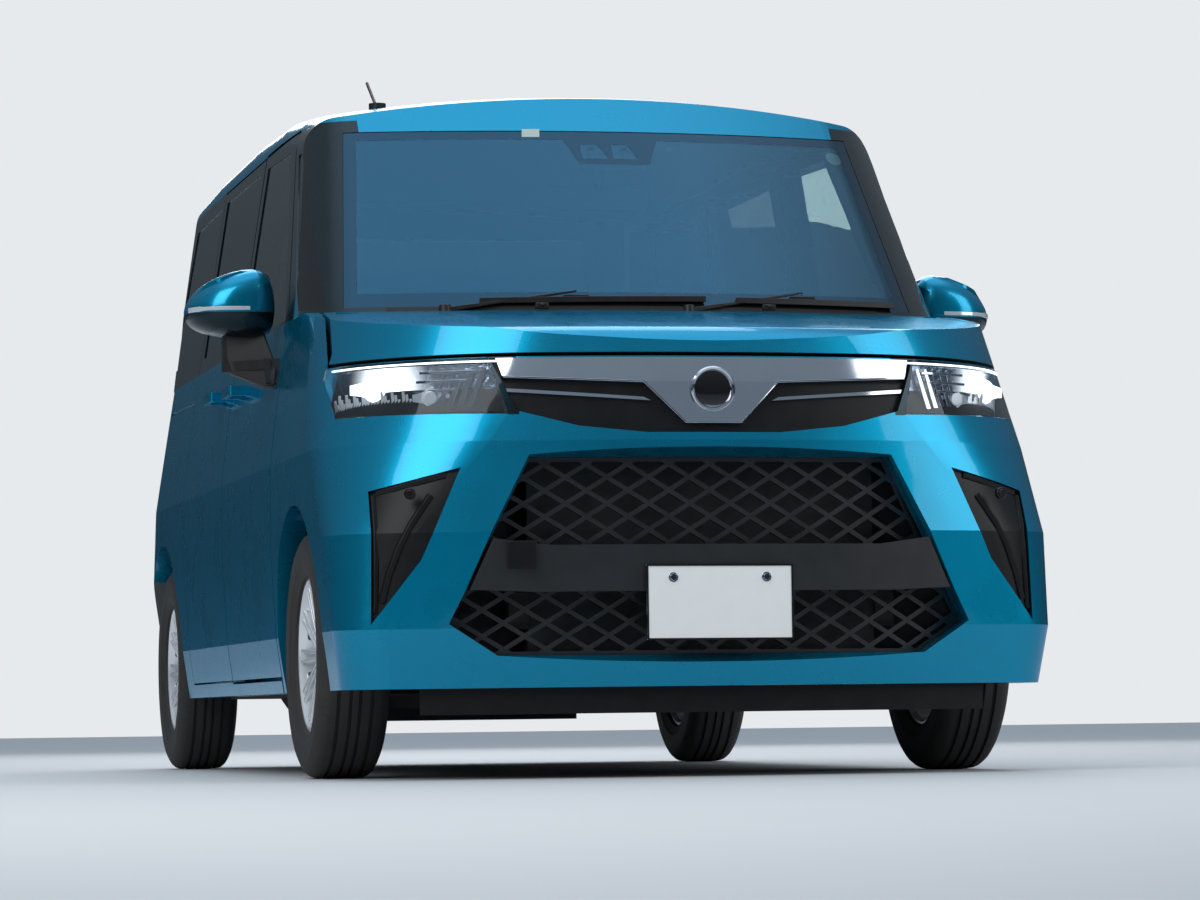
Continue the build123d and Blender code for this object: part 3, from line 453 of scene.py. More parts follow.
wiper_black = moulded("wiper_black", (0.010, 0.010, 0.011, 1), (0.020, 0.020, 0.021, 1), 40, (0.32, 0.5), 0.0001)
for number, (foot, tip, (left, right), (low, high)) in enumerate(ARMS, 1):
    mesh = bmesh.new()
    add_disc(mesh, foot, (0, 0, 1), 0.017, 0.026, 24, 0.8)
    elbow = Vector(foot).lerp(Vector(tip), 0.28) - Vector((0, 0.004, 0))
    add_bar(mesh, foot, elbow, 0.024, 0.012, 0.75)
    add_bar(mesh, elbow, tip, 0.014, 0.008, 0.6)
    make_piece(mesh, f"wiper_arm_{number}", "body", wiper_black, 0.0015)
    mesh = bmesh.new()
    middle = on_screen(0, low)[1] + SCREEN_R
    for proud, depth, below, above in ((0.018, 0.009, -0.007, 0.007), (0.010, 0.009, -0.002, 0.002)):
        add_curved(mesh, (0, middle), SCREEN_R + proud, asin(left / SCREEN_R), asin(right / SCREEN_R), low + below,
                   low + above, depth, 12, (0, SCREEN_LEAN * (high - low), high - low))
    saddle = on_screen(tip[0], tip[2] - 0.006, 0.014)
    add_bar(mesh, saddle - Vector((0.03, 0, 0.012)), saddle + Vector((0.03, 0, -0.012)), 0.018, 0.018)
    make_piece(mesh, f"wiper_blade_{number}", "body", wiper_black, 0.001)
for number, x in enumerate((-0.243, 0.306), 1):
    mesh = bmesh.new()
    add_bar(mesh, (x - 0.016, -1.150, 1.097), (x + 0.016, -1.150, 1.097), 0.012, 0.014)
    add_disc(mesh, (x, -1.158, 1.099), (0, -1, 0.3), 0.004, 0.006, 12)
    make_piece(mesh, f"washer_nozzle_{number}", "body", wiper_black, 0.002)

# Tyres: moulded rubber with a ribbed sidewall, four grooves round the tread and thin cuts across its shoulders.
# They take the place of the plain CAD rings.
TYRE_HALF = [
    # place across the tyre from its middle, and radius, from the bead out to the middle, in metres
    (0.062, 0.178), (0.070, 0.181), (0.076, 0.196), (0.0795, 0.206), (0.0805, 0.207), (0.082, 0.222),
    (0.0825, 0.234), (0.0815, 0.246), (0.0825, 0.250), (0.080, 0.256), (0.076, 0.265), (0.070, 0.274),
    (0.062, 0.2805), (0.055, 0.283), (0.043, 0.2842), (0.0415, 0.277), (0.035, 0.277), (0.0335, 0.2846),
    (0.015, 0.285), (0.0135, 0.2775), (0.008, 0.2775), (0.0065, 0.285),
]
TREAD_CUTS = 96
WHEELS = {"fl": (0.7325, -1.13), "fr": (-0.7325, -1.13), "rl": (0.7375, 1.36), "rr": (-0.7375, 1.36)}
AXLE_Z = 0.285


def add_lathe(mesh, profile, steps=96, closed=True):
    """A surface turned about X over points of (x, radius)."""
    ring = [mesh.verts.new((x, 0, r)) for x, r in profile]
    ahead_of = ring[1:] + ring[:1] if closed else ring[1:]
    edges = [mesh.edges.new(pair) for pair in zip(ring, ahead_of)]
    bmesh.ops.spin(mesh, geom=ring + edges, cent=(0, 0, 0), axis=(1, 0, 0), angle=2 * pi, steps=steps,
                   use_merge=True)


def set_at_wheel(mesh, corner):
    """Moves a shape built about the origin to one wheel, its outer side outwards."""
    x, y = WHEELS[corner]
    bmesh.ops.transform(mesh, verts=mesh.verts, matrix=Matrix.Translation((x, y, AXLE_Z))
                        @ Matrix.Rotation(0 if x > 0 else pi, 4, "Z"))


rubber = moulded("tyre_rubber", (0.020, 0.020, 0.021, 1), (0.040, 0.038, 0.036, 1), 16, (0.6, 0.8), 0.0003)
tree = rubber.node_tree
pattern = tree.nodes.new("ShaderNodeUVMap")
pattern.uv_map = "tread"
parts = tree.nodes.new("ShaderNodeSeparateXYZ")
tree.links.new(pattern.outputs["UV"], parts.inputs[0])
cut = maths(tree, "MULTIPLY", maths(tree, "LESS_THAN", maths(tree, "FRACT", parts.outputs[0]), 0.13), parts.outputs[1])
relief(tree, tree.nodes["Principled BSDF"], maths(tree, "SUBTRACT", noise(tree, 500, 2), maths(tree, "MULTIPLY", cut, 6.0)),
       0.0004)
for corner in WHEELS:
    mesh = bmesh.new()
    add_lathe(mesh, TYRE_HALF + [(-x, r) for x, r in reversed(TYRE_HALF)])
    layer = mesh.loops.layers.uv.new("tread")
    for face in mesh.faces:
        middle = face.calc_center_median()
        place = atan2(middle.z, middle.y)
        shoulder = 1.0 if middle.yz.length > 0.262 and abs(middle.x) > 0.043 else 0.0
        for loop in face.loops:
            round_by = atan2(loop.vert.co.z, loop.vert.co.y) - place
            round_by -= 2 * pi * round(round_by / (2 * pi))
            loop[layer].uv = ((place + round_by + pi) * TREAD_CUTS / (2 * pi), shoulder)
    set_at_wheel(mesh, corner)
    made = make_piece(mesh, f"tyre_{corner}_treaded", f"wheel_{corner}", rubber)
    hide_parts(f"tyre_{corner}")

# Wheels: 14-inch rims with a silver cover of ten twin-ribbed spokes round a plain cap, slots between them, and
# a bright ring at the edge. A dark brake disc or drum shows through the slots.
BARREL = [(0.062, 0.1775), (0.059, 0.1775), (0.050, 0.170), (-0.052, 0.168), (-0.062, 0.1775), (-0.062, 0.171),
          (-0.052, 0.163), (0.050, 0.164), (0.062, 0.172)]
DISH = [(0.033, 0.027), (0.030, 0.040), (0.030, 0.070), (0.034, 0.100), (0.040, 0.130), (0.046, 0.152),
        (0.052, 0.160), (0.058, 0.166), (0.063, 0.170), (0.064, 0.175), (0.062, 0.179)]
HUB_CAP = [(0.030, 0.031), (0.043, 0.030), (0.046, 0.027), (0.047, 0.015), (0.0475, 0.0)]
SPOKES, STEPS_PER_SPOKE = 10, 12
silver = moulded("wheel_silver", (0.80, 0.82, 0.84, 1), (0.72, 0.74, 0.77, 1), 20, (0.20, 0.30), 0.00005, metal=0.5,
                 coat=0.5)
brake_steel = moulded("brake_steel", (0.10, 0.10, 0.10, 1), (0.05, 0.045, 0.04, 1), 20, (0.4, 0.6), 0.0002, metal=0.8)
for corner in WHEELS:
    mesh = bmesh.new()
    add_lathe(mesh, DISH, SPOKES * STEPS_PER_SPOKE, closed=False)
    slots = []
    for face in mesh.faces:
        middle = face.calc_center_median()
        share = (atan2(middle.z, middle.y) * SPOKES / (2 * pi)) % 1
        if 0.060 < middle.yz.length < 0.152 and 0.40 < share < 0.60:
            slots.append(face)
    bmesh.ops.delete(mesh, geom=slots, context="FACES")
    bmesh.ops.remove_doubles(mesh, verts=mesh.verts, dist=0.00001)
    bmesh.ops.recalc_face_normals(mesh, faces=mesh.faces)
    bmesh.ops.solidify(mesh, geom=mesh.faces, thickness=0.003)
    for side in (-1, 1):
        rib = add_bar(mesh, (0.038, 0.028, 0.006 * side), (0.056, 0.160, 0.013 * side), 0.010, 0.009, 0.8)
        for turn in range(1, SPOKES):
            copy = bmesh.ops.duplicate(mesh, geom=[*rib, *{e for v in rib for e in v.link_edges},
                                                   *{f for v in rib for f in v.link_faces}])["geom"]
            bmesh.ops.rotate(mesh, verts=[part for part in copy if isinstance(part, bmesh.types.BMVert)],
                             cent=(0, 0, 0), matrix=Matrix.Rotation(2 * pi * turn / SPOKES, 3, "X"))
    add_lathe(mesh, BARREL, 96)
    add_lathe(mesh, HUB_CAP, 48, closed=False)
    set_at_wheel(mesh, corner)
    made = make_piece(mesh, f"rim_{corner}_covered", f"wheel_{corner}", silver, 0.0012)
    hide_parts(f"rim_{corner}")
    mesh = bmesh.new()
    add_lathe(mesh, [(0.000, 0.028), (0.000, 0.125), (-0.020, 0.125), (-0.022, 0.028)], 64)
    add_lathe(mesh, [(0.024, 0.026), (0.024, 0.068), (0.001, 0.070), (0.001, 0.026)], 48)
    set_at_wheel(mesh, corner)
    make_piece(mesh, f"brake_{corner}", f"wheel_{corner}", brake_steel, 0.001)

# Behind the windscreen: the driving camera's housing against the glass, the mirror on its stalk, and two plain
# stickers of coated paper at the upper corners.
plastic_grey = moulded("trim_grey", (0.060, 0.062, 0.065, 1), (0.085, 0.087, 0.090, 1), 30, (0.5, 0.65), 0.0002)
sticker_paper = moulded("sticker_paper", (0.62, 0.70, 0.66, 1), (0.50, 0.60, 0.56, 1), 60, (0.4, 0.5), 0.00005)
mirror_silver = moulded("mirror_silver", (0.80, 0.82, 0.84, 1), (0.74, 0.77, 0.80, 1), 4, (0.01, 0.03), 0.000005,
                        metal=1.0)
mesh = bmesh.new()
add_bar(mesh, on_screen(0.012, 1.470, -0.030) + Vector((0, 0.012, 0)),
        on_screen(0.012, 1.560, -0.030) + Vector((0, 0.018, 0)), 0.165, 0.034)
make_piece(mesh, "screen_camera", "body", plastic_grey, 0.006, 3)
mesh = bmesh.new()
for x in (-0.045, 0.038):
    add_disc(mesh, on_screen(x, 1.505, -0.014), (0, -1, 0.3), 0.013, 0.014, 24, 0.8)
make_piece(mesh, "screen_camera_eyes", "body", piano_black, 0.001)
mesh = bmesh.new()
add_bar(mesh, (0.010, -0.700, 1.480), (0.010, -0.640, 1.425), 0.022, 0.022, 0.8)
add_bar(mesh, (-0.115, -0.628, 1.412), (0.135, -0.628, 1.412), 0.026, 0.062)
make_piece(mesh, "cabin_mirror", "body", grained_black, 0.010, 4)
mesh = bmesh.new()
add_bar(mesh, (-0.105, -0.613, 1.412), (0.125, -0.613, 1.412), 0.004, 0.052)
make_piece(mesh, "cabin_mirror_glass", "body", mirror_silver, 0.001)
mesh = bmesh.new()
middle = on_screen(0, 1.537)[1] + SCREEN_R
add_curved(mesh, (0, middle), SCREEN_R - 0.007, asin(-0.209 / SCREEN_R), asin(-0.166 / SCREEN_R), 1.537, 1.565, 0.0006, 4)
add_disc(mesh, on_screen(0.590, 1.508, -0.009), (0.21, -0.75, 0.62), 0.021, 0.0008, 32)
make_piece(mesh, "screen_stickers", "body", sticker_paper)
mesh = bmesh.new()
add_disc(mesh, on_screen(0.155, 1.515, -0.012), (0, -0.78, 0.62), 0.008, 0.010, 20)
make_piece(mesh, "rain_sensor", "body", piano_black, 0.001)

# Door mirrors: under the painted cap and over the black foot, which are CAD solids, comes the mirror glass in
# its frame, and a clear turn lamp let into the cap's outer corner.
clear_lens = moulded("clear_moulding", (0.72, 0.75, 0.78, 1), (0.62, 0.66, 0.70, 1), 60, (0.06, 0.14), 0.00005, metal=0.3,
                     coat=1.0)
MIRROR_RING = [(0.819, 1.091), (0.863, 1.081), (0.969, 1.092), (0.995, 1.117), (0.993, 1.147), (0.961, 1.182),
               (0.889, 1.208), (0.822, 1.203)]
SHELL_RINGS = [
    # y, then the outline's share of its full width and height, and its middle in x
    (-0.562, 0.90, 0.90, 0.909), (-0.554, 0.97, 0.97, 0.909), (-0.562, 1.08, 1.18, 0.908), (-0.610, 1.10, 1.25, 0.908),
    (-0.655, 1.06, 1.25, 0.901), (-0.694, 0.86, 1.14, 0.891), (-0.714, 0.55, 0.74, 0.888), (-0.719, 0.24, 0.34, 0.886),
]
FAIRING = [
    # z, then its four corners
    (1.084, (0.832, -0.668), (0.924, -0.650), (0.924, -0.590), (0.832, -0.600)),
    (1.012, (0.815, -0.715), (0.924, -0.652), (0.924, -0.592), (0.815, -0.640)),
    (0.974, (0.812, -0.756), (0.912, -0.662), (0.905, -0.602), (0.812, -0.672)),
    (0.936, (0.815, -0.756), (0.840, -0.755), (0.840, -0.690), (0.815, -0.692)),
]
shell_paint = lacquered("paint_mirrors", 0, foot=1.119)
for side, body in ((1, "door_l"), (-1, "door_r")):
    hand = body[-1]
    mesh = bmesh.new()
    mesh.faces.new([mesh.verts.new((x * side, -0.5575, z)) for x, z in MIRROR_RING])
    bmesh.ops.solidify(mesh, geom=mesh.faces, thickness=0.003)
    make_piece(mesh, f"mirror_glass_{hand}", body, mirror_silver, 0.0008)
    mesh = bmesh.new()
    add_loft(mesh, [[(((x - 0.907) * wide / 0.88 + middle) * side, y, 1.146 + (z - 1.146) * high / 0.88)
                     for x, z in MIRROR_RING] for y, wide, high, middle in SHELL_RINGS])
    bmesh.ops.delete(mesh, geom=[face for face in mesh.faces if len(face.verts) > 4 and face.calc_center_median().y > -0.6],
                     context="FACES_ONLY")
    shell = make_piece(mesh, f"mirror_shell_{hand}", body, shell_paint, levels=2)
    skin = BVHTree.FromObject(shell, bpy.context.evaluated_depsgraph_get())
    rings = []
    for step in range(13):
        angle = radians(-104 + 8 * step)
        spot, facing = skin.ray_cast(Vector((0.895 * side, -0.62, 1.127)),
                                     Vector((cos(angle) * side, sin(angle), 0)))[:2]
        facing = Vector((cos(angle) * side, sin(angle), 0)) * 0.0022
        rise = Vector((0, 0, 0.0045 if step < 9 else 0.006))
        rings.append([spot + facing - rise, spot + facing + rise, spot - facing + rise, spot - facing - rise])
    mesh = bmesh.new()
    add_loft(mesh, rings)
    make_piece(mesh, f"mirror_lamp_{hand}", body, clear_lens, 0.0008)
    mesh = bmesh.new()
    add_loft(mesh, [[(x * side, y, z) for x, y in corners] for z, *corners in FAIRING])
    make_piece(mesh, f"mirror_fairing_{hand}", body, grained_black, 0.006, 3)

# Headlamps: inside the clear lens a plated reflector bowl follows the nose's curve, with upright flutes over
# the outer lamp, a smooth inner bowl, slanted blades at the inner end, a light guide on top and a dark sill.
LAMP_MIDDLE, LAMP_R = (0.305, -1.266), 0.515
# the point beside the outer projector where the bowl's painted glow is strongest
PAINTED_GLOW_PLACE = (0.686, -1.566, 0.868)
bowl_with_painted_glow = moulded("lamp_bowl", (0.24, 0.31, 0.40, 1), (0.08, 0.12, 0.18, 1), 90, (0.10, 0.25), 0.004, metal=0.9,
                      grain=55)
tree, shader = bowl_with_painted_glow.node_tree, bowl_with_painted_glow.node_tree.nodes["Principled BSDF"]
# The plated bowl has a painted glow: emission strongest at the point beside the outer projector and gone 135 mm from
# it, light painted onto a reflector that is no lamp.
place = split(tree, "Object")
near = maths(tree, "POWER", maths(tree, "SUBTRACT", maths(tree, "ABSOLUTE", place[0]), PAINTED_GLOW_PLACE[0]), 2.0)
for axis in (1, 2):
    near = maths(tree, "ADD", near, maths(tree, "POWER", maths(tree, "SUBTRACT", place[axis], PAINTED_GLOW_PLACE[axis]), 2.0))
painted_glow_fade = maths(tree, "MAXIMUM", maths(tree, "SUBTRACT", 1.0, maths(tree, "DIVIDE", maths(tree, "SQRT", near), 0.135)), 0.0)
shader.inputs["Emission Color"].default_value = (0.86, 0.95, 1.0, 1)
tree.links.new(maths(tree, "MULTIPLY", maths(tree, "POWER", painted_glow_fade, 2.0), 6.0), shader.inputs["Emission Strength"])
lit, tree, shader = new_material("lamp_lit")
shader.inputs["Roughness"].default_value = 0.25
tree.links.new(blend_colours(tree, noise(tree, 120, 3), (0.90, 0.93, 0.97, 1), (0.70, 0.78, 0.86, 1)),
               shader.inputs["Base Color"])
tree.links.new(blend_colours(tree, noise(tree, 45, 2), (0.95, 0.98, 1, 1), (0.45, 0.55, 0.68, 1)),
               shader.inputs["Emission Color"])
shader.inputs["Emission Strength"].default_value = 2.2


def lamp_place(angle, z, depth):
    """A point inside the left headlamp."""
    reach = LAMP_R - depth
    return Vector((LAMP_MIDDLE[0] + reach * sin(angle), LAMP_MIDDLE[1] - reach * cos(angle), z))


def mirror_copy(mesh):
    """Adds the mirror image of everything so far across the car's middle."""
    bmesh.ops.mirror(mesh, geom=mesh.verts[:] + mesh.edges[:] + mesh.faces[:], axis="X", merge_dist=-1)


BOWLS = [
    # name, finish, angles from and to, heights from and to, depth
    ("lamp_bowl_inner", bowl_with_painted_glow, 19, 42, 0.812, 0.914, 0.031),
    ("lamp_bowl_outer", bowl_with_painted_glow, 42, 74, 0.812, 0.914, 0.031),
    ("lamp_guide", lit, 19, 73, 0.9165, 0.9205, 0.014),
    ("lamp_sill", satin_black, 20, 74, 0.801, 0.809, 0.010),
]
for name, finish, start, end, low, high, depth in BOWLS:
    mesh = bmesh.new()
    add_curved(mesh, LAMP_MIDDLE, LAMP_R - depth, radians(start), radians(end), low, high, 0.003, 20)
    mirror_copy(mesh)
    make_piece(mesh, name, "body", finish, 0.0006)
mesh = bmesh.new()
for number in range(26):
    angle = radians(42.5 + 1.18 * number)
    high = 0.842 + 0.010 * (number % 3)
    add_bar(mesh, lamp_place(angle, 0.811, 0.024), lamp_place(angle + 0.01, high, 0.022), 0.0045, 0.008, 0.7)
mirror_copy(mesh)
make_piece(mesh, "lamp_flutes", "body", clear_lens, 0.0006)
mesh = bmesh.new()
for number in range(5):
    angle = radians(22.5 + 2.7 * number)
    add_bar(mesh, lamp_place(angle + 0.07, 0.815, 0.020), lamp_place(angle, 0.906, 0.020), 0.0055, 0.013, 0.7)
for number, (start, end) in enumerate(((24, 40), (27, 41), (30, 42))):
    add_curved(mesh, LAMP_MIDDLE, LAMP_R - 0.016, radians(start), radians(end), 0.894 - 0.020 * number,
               0.900 - 0.020 * number, 0.008, 6)
mirror_copy(mesh)
make_piece(mesh, "lamp_blades", "body", bright_plating, 0.0008)
for name, finish, spots in (("lamp_projectors", lit, ((55, 0.030, 0.868),)),
                            ("lamp_marker", clear_lens, ((37, 0.022, 0.842),))):
    mesh = bmesh.new()
    for angle, size, z in spots:
        middle = lamp_place(radians(angle), z, 0.022)
        facing = middle - Vector((*LAMP_MIDDLE, z))
        facing = Vector((0.45 * facing.x, facing.y, 0))
        add_disc(mesh, middle, facing, size, 0.008, 40, 0.9)
        add_disc(mesh, middle + facing.normalized() * 0.005, facing, size * 0.82, 0.006, 40, 0.75)
        for side in (-1, 1):
            wing = middle + Vector((0.5 * side * size, 0.10 * side * size, 0))
            add_bar(mesh, wing, wing + Vector((1.2 * side * size, 0.9 * side * size, 0)), 0.005, size * 1.2, 0.6)
    mirror_copy(mesh)
    make_piece(mesh, name, "body", finish, 0.001)

# Front of the nose: the plated trim's lower return, a plain round boss in its middle, bolts and a pressed
# rim on the blank plate, the tow eye's cover, a parking sensor in each corner bezel.
TRIM_EDGE = [(-0.458, 0.8835), (-0.153, 0.8715), (-0.064, 0.7805), (0.064, 0.7805), (0.153, 0.8715), (0.458, 0.8835)]
BOSS_Z = 0.853


def nose_y(x, z):
    """Where the nose's outer surface lies between the lower grille and the bonnet's edge."""
    back, reach = (0.017 + 0.024 * (z - 0.74) / 0.13, 2.35 - 0.2 * (z - 0.74) / 0.13) if z > 0.74 else (
        0.017 * (z - 0.54) / 0.2, 2.75 - 0.4 * (z - 0.54) / 0.2)
    return -1.85 + back + reach - sqrt(reach ** 2 - x ** 2)


run = []
for (x0, z0), (x1, z1) in zip(TRIM_EDGE, TRIM_EDGE[1:]):
    for part in range(8):
        x, z = x0 + (x1 - x0) * part / 8, z0 + (z1 - z0) * part / 8
        run.append((x, nose_y(x, z) + 0.010, z))
run.append((TRIM_EDGE[-1][0], nose_y(*TRIM_EDGE[-1]) + 0.010, TRIM_EDGE[-1][1]))
mesh = bmesh.new()
add_loft(mesh, [[Vector(point) + Vector((0, y, z)) for y, z in
                 ((-0.010, 0.001), (-0.010, -0.003), (0.010, -0.008), (0.010, -0.001))] for point in run])
make_piece(mesh, "trim_return", "body", bright_plating, 0.0008)
mesh = bmesh.new()
for name, finish, profile, closed in (
        ("grille_boss_ring", bright_plating,
         [(0.0, 0.041), (0.0, 0.046), (0.004, 0.050), (0.010, 0.050), (0.013, 0.047), (0.012, 0.043), (0.008, 0.040)], True),
        ("grille_boss_face", piano_black, [(0.0, 0.0), (0.0, 0.041), (0.007, 0.040), (0.009, 0.030), (0.010, 0.0)], False)):
    mesh = bmesh.new()
    add_lathe(mesh, profile, 64, closed)
    bmesh.ops.rotate(mesh, verts=mesh.verts, cent=(0, 0, 0), matrix=Matrix.Rotation(-pi / 2, 3, "Z"))
    bmesh.ops.translate(mesh, verts=mesh.verts, vec=(0, nose_y(0, BOSS_Z) + 0.001, BOSS_Z))
    make_piece(mesh, name, "body", finish)
mesh = bmesh.new()
for x in (-0.105, 0.105):
    add_disc(mesh, (x, -1.8615, 0.437), (0, -1, 0), 0.0085, 0.005, 6)
    add_disc(mesh, (x, -1.8600, 0.437), (0, -1, 0), 0.011, 0.0015, 32)
make_piece(mesh, "plate_bolts_shown", "body", bright_plating, 0.0006)
mesh = bmesh.new()
for z in (0.3015, 0.4635):
    add_bar(mesh, (-0.165, -1.8598, z), (0.165, -1.8598, z), 0.0022, 0.004)
for x in (-0.163, 0.163):
    add_bar(mesh, (x, -1.8598, 0.3035), (x, -1.8598, 0.4615), 0.004, 0.0022)
make_piece(mesh, "plate_rim", "body", satin_black, 0.0006)
mesh = bmesh.new()
add_bar(mesh, (-0.470, -1.838, 0.488), (-0.405, -1.8405, 0.488), 0.006, 0.062)
make_piece(mesh, "tow_cover", "body", satin_black, 0.0028, 4)
mesh = bmesh.new()
for side in (-1, 1):
    add_disc(mesh, (0.672 * side, -1.776, 0.624), (0.34 * side, -1, 0), 0.013, 0.012, 32)
    add_disc(mesh, (0.6735 * side, -1.7825, 0.624), (0.34 * side, -1, 0), 0.0085, 0.006, 32)
make_piece(mesh, "corner_sensors", "body", piano_black, 0.001)

# Corner bezels: each has a raised rim along its top and outer edges and a ridge that runs down beside the sensor
BEZEL_LINES = [
    # points of (x, z), half width, and how far it stands proud
    ([(0.590, 0.6655), (0.640, 0.653), (0.690, 0.640), (0.733, 0.6285)], 0.009, 0.006),
    ([(0.738, 0.625), (0.739, 0.560), (0.740, 0.480), (0.742, 0.390), (0.744, 0.366)], 0.0075, 0.006),
    ([(0.622, 0.622), (0.640, 0.597), (0.665, 0.560), (0.692, 0.510), (0.714, 0.450), (0.730, 0.388)], 0.009, 0.007),
]


def add_strip(mesh, surface, path, half, proud):
    """A raised strip along (x, z) points of a surface that faces forwards."""
    rings = []
    for number, (x, z) in enumerate(path):
        before, after = path[max(number - 1, 0)], path[min(number + 1, len(path) - 1)]
        along = Vector((after[0] - before[0], 0, after[1] - before[1])).normalized()
        aside = Vector((along.z, 0, -along.x)) * half
        spot = surface.ray_cast(Vector((x, -3, z)), Vector((0, 1, 0)))[0]
        under, over = Vector((0, 0.003, 0)), Vector((0, -proud, 0))
        rings.append([spot + aside + under, spot + aside * 0.6 + over, spot - aside * 0.6 + over, spot - aside + under])
    add_loft(mesh, rings)


bezel_face = BVHTree.FromObject(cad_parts["nose_trim"], bpy.context.evaluated_depsgraph_get())
mesh = bmesh.new()
for path, half, proud in BEZEL_LINES:
    add_strip(mesh, bezel_face, path, half, proud)
mirror_copy(mesh)
make_piece(mesh, "bezel_ridges", "body", satin_black, 0.0015, 2)

# Behind the grille and under the bonnet: moulded air guides beside the radiator, a ribbed engine cover with the
# oil filler, a battery with its two posts, and the coolant's bottle.
mesh = bmesh.new()
add_bar(mesh, (0.388, -1.640, 0.455), (0.605, -1.690, 0.455), 0.004, 0.410)
mirror_copy(mesh)
make_piece(mesh, "air_guides", "body", satin_black, 0.001)
mesh = bmesh.new()
add_bar(mesh, (-0.270, -1.330, 0.838), (0.200, -1.330, 0.838), 0.300, 0.044)
for number in range(7):
    add_bar(mesh, (-0.190 + 0.055 * number, -1.455, 0.862), (-0.190 + 0.055 * number, -1.205, 0.862), 0.014, 0.008, 0.9)
add_disc(mesh, (-0.232, -1.250, 0.868), (0, 0, 1), 0.024, 0.020, 32, 0.85)
make_piece(mesh, "engine_cover", "body", dash_plastic, 0.004, 3)
mesh = bmesh.new()
add_bar(mesh, (0.250, -1.240, 0.890), (0.390, -1.240, 0.890), 0.180, 0.140)
add_bar(mesh, (0.250, -1.240, 0.962), (0.390, -1.240, 0.962), 0.150, 0.012)
for x in (0.275, 0.365):
    add_disc(mesh, (x, -1.190, 0.972), (0, 0, 1), 0.010, 0.022, 20, 0.85)
make_piece(mesh, "battery", "body", grained_black, 0.003, 2)
mesh = bmesh.new()
add_bar(mesh, (-0.385, -1.500, 0.862), (-0.295, -1.500, 0.862), 0.110, 0.090)
add_disc(mesh, (-0.340, -1.500, 0.915), (0, 0, 1), 0.022, 0.022, 32, 0.9)
make_piece(mesh, "coolant_bottle", "body", plastic_grey, 0.010, 3)

# Dashboard: the CAD moulding carries a hood over the dials, a screen in its middle, four vents, and a shift
# panel below. The steering wheel keeps its CAD rim and gets a padded hub.
mesh = bmesh.new()
add_bar(mesh, (-0.505, -0.705, 1.052), (-0.215, -0.705, 1.052), 0.150, 0.050)
make_piece(mesh, "dial_hood", "body", dash_plastic, 0.018, 4)
mesh = bmesh.new()
add_bar(mesh, (-0.478, -0.633, 1.034), (-0.242, -0.633, 1.034), 0.006, 0.052)
add_bar(mesh, (-0.115, -0.655, 0.985), (0.115, -0.655, 0.985), 0.016, 0.130)
make_piece(mesh, "dash_screens", "body", piano_black, 0.003, 3)
mesh = bmesh.new()
for x in (-0.575, -0.155, 0.155, 0.575):
    for level in range(4):
        z = 0.950 + 0.014 * level
        y = -0.640 - 0.6 * (z - 0.950)
        add_bar(mesh, (x - 0.034, y, z), (x + 0.034, y, z), 0.010, 0.004)
make_piece(mesh, "dash_vents", "body", satin_black, 0.0008)
mesh = bmesh.new()
add_bar(mesh, (0.0, -0.618, 0.74), (0.0, -0.638, 0.905), 0.190, 0.050, 0.9)
add_bar(mesh, (0.045, -0.612, 0.845), (0.045, -0.560, 0.880), 0.020, 0.020)
add_disc(mesh, (0.045, -0.548, 0.888), (0, 0.8, 0.5), 0.020, 0.045, 24, 0.8)
make_piece(mesh, "shift_panel", "body", dash_plastic, 0.006, 3)
mesh = bmesh.new()
hub_out = Matrix.Translation((-0.360, -0.560, 0.960)) @ Matrix.Rotation(radians(65), 4, "X")
bmesh.ops.create_cone(mesh, cap_ends=True, segments=40, radius1=0.062, radius2=0.048, depth=0.020,
                      matrix=hub_out @ Matrix.Translation((0, 0, -0.026)) @ Matrix.Rotation(pi, 4, "X"))
make_piece(mesh, "wheel_hub", "body", dash_plastic, 0.006, 4)

# Seats: foam pads in woven covers on moulded bases, two in front and a bench behind, each with its cushion,
# backrest and head restraints on steel posts. The pads are swollen as stuffed cloth from plainer forms.
SWELL_STEPS, SWELL_PRESSURE = 14, 4.0
FRONT_SEAT_X, BASE_Y, BASE_FOOT = 0.360, (-0.245, 0.215), 0.228
BENCH_PADS = (-0.372, 0.0, 0.372)


def stuff(mesh, voxel, most):
    """Swells a closed form like a stuffed cover, no point moving further than most."""
    bmesh.ops.recalc_face_normals(mesh, faces=mesh.faces)
    data = bpy.data.meshes.new("cover")
    mesh.to_mesh(data)
    mesh.free()
    cover = bpy.data.objects.new("cover", data)
    bpy.context.scene.collection.objects.link(cover)
    remesh = cover.modifiers.new("remesh", "REMESH")
    remesh.mode = "VOXEL"
    remesh.voxel_size = voxel
    start = bpy.data.meshes.new_from_object(cover.evaluated_get(bpy.context.evaluated_depsgraph_get()))
    cover.modifiers.remove(remesh)
    cover.data = start
    swollen = start
    cloth = cover.modifiers.new("cloth", "CLOTH")
    cloth.settings.use_pressure = True
    cloth.settings.uniform_pressure_force = SWELL_PRESSURE
    cloth.settings.effector_weights.gravity = 0
    cloth.point_cache.frame_start = 1
    cloth.point_cache.frame_end = SWELL_STEPS
    for step in range(1, SWELL_STEPS + 1):
        bpy.context.scene.frame_set(step)
    swollen = bpy.data.meshes.new_from_object(cover.evaluated_get(bpy.context.evaluated_depsgraph_get()))
    bpy.context.scene.frame_set(1)
    padded = bmesh.new()
    padded.from_mesh(swollen)
    padded.verts.ensure_lookup_table()
    for before, after in zip(start.vertices, padded.verts):
        move = after.co - before.co
        if move.length > most:
            after.co = before.co + move * (most / move.length)
    bpy.data.objects.remove(cover)
    bmesh.ops.smooth_vert(padded, verts=padded.verts, factor=0.5, use_axis_x=True, use_axis_y=True, use_axis_z=True)
    return padded


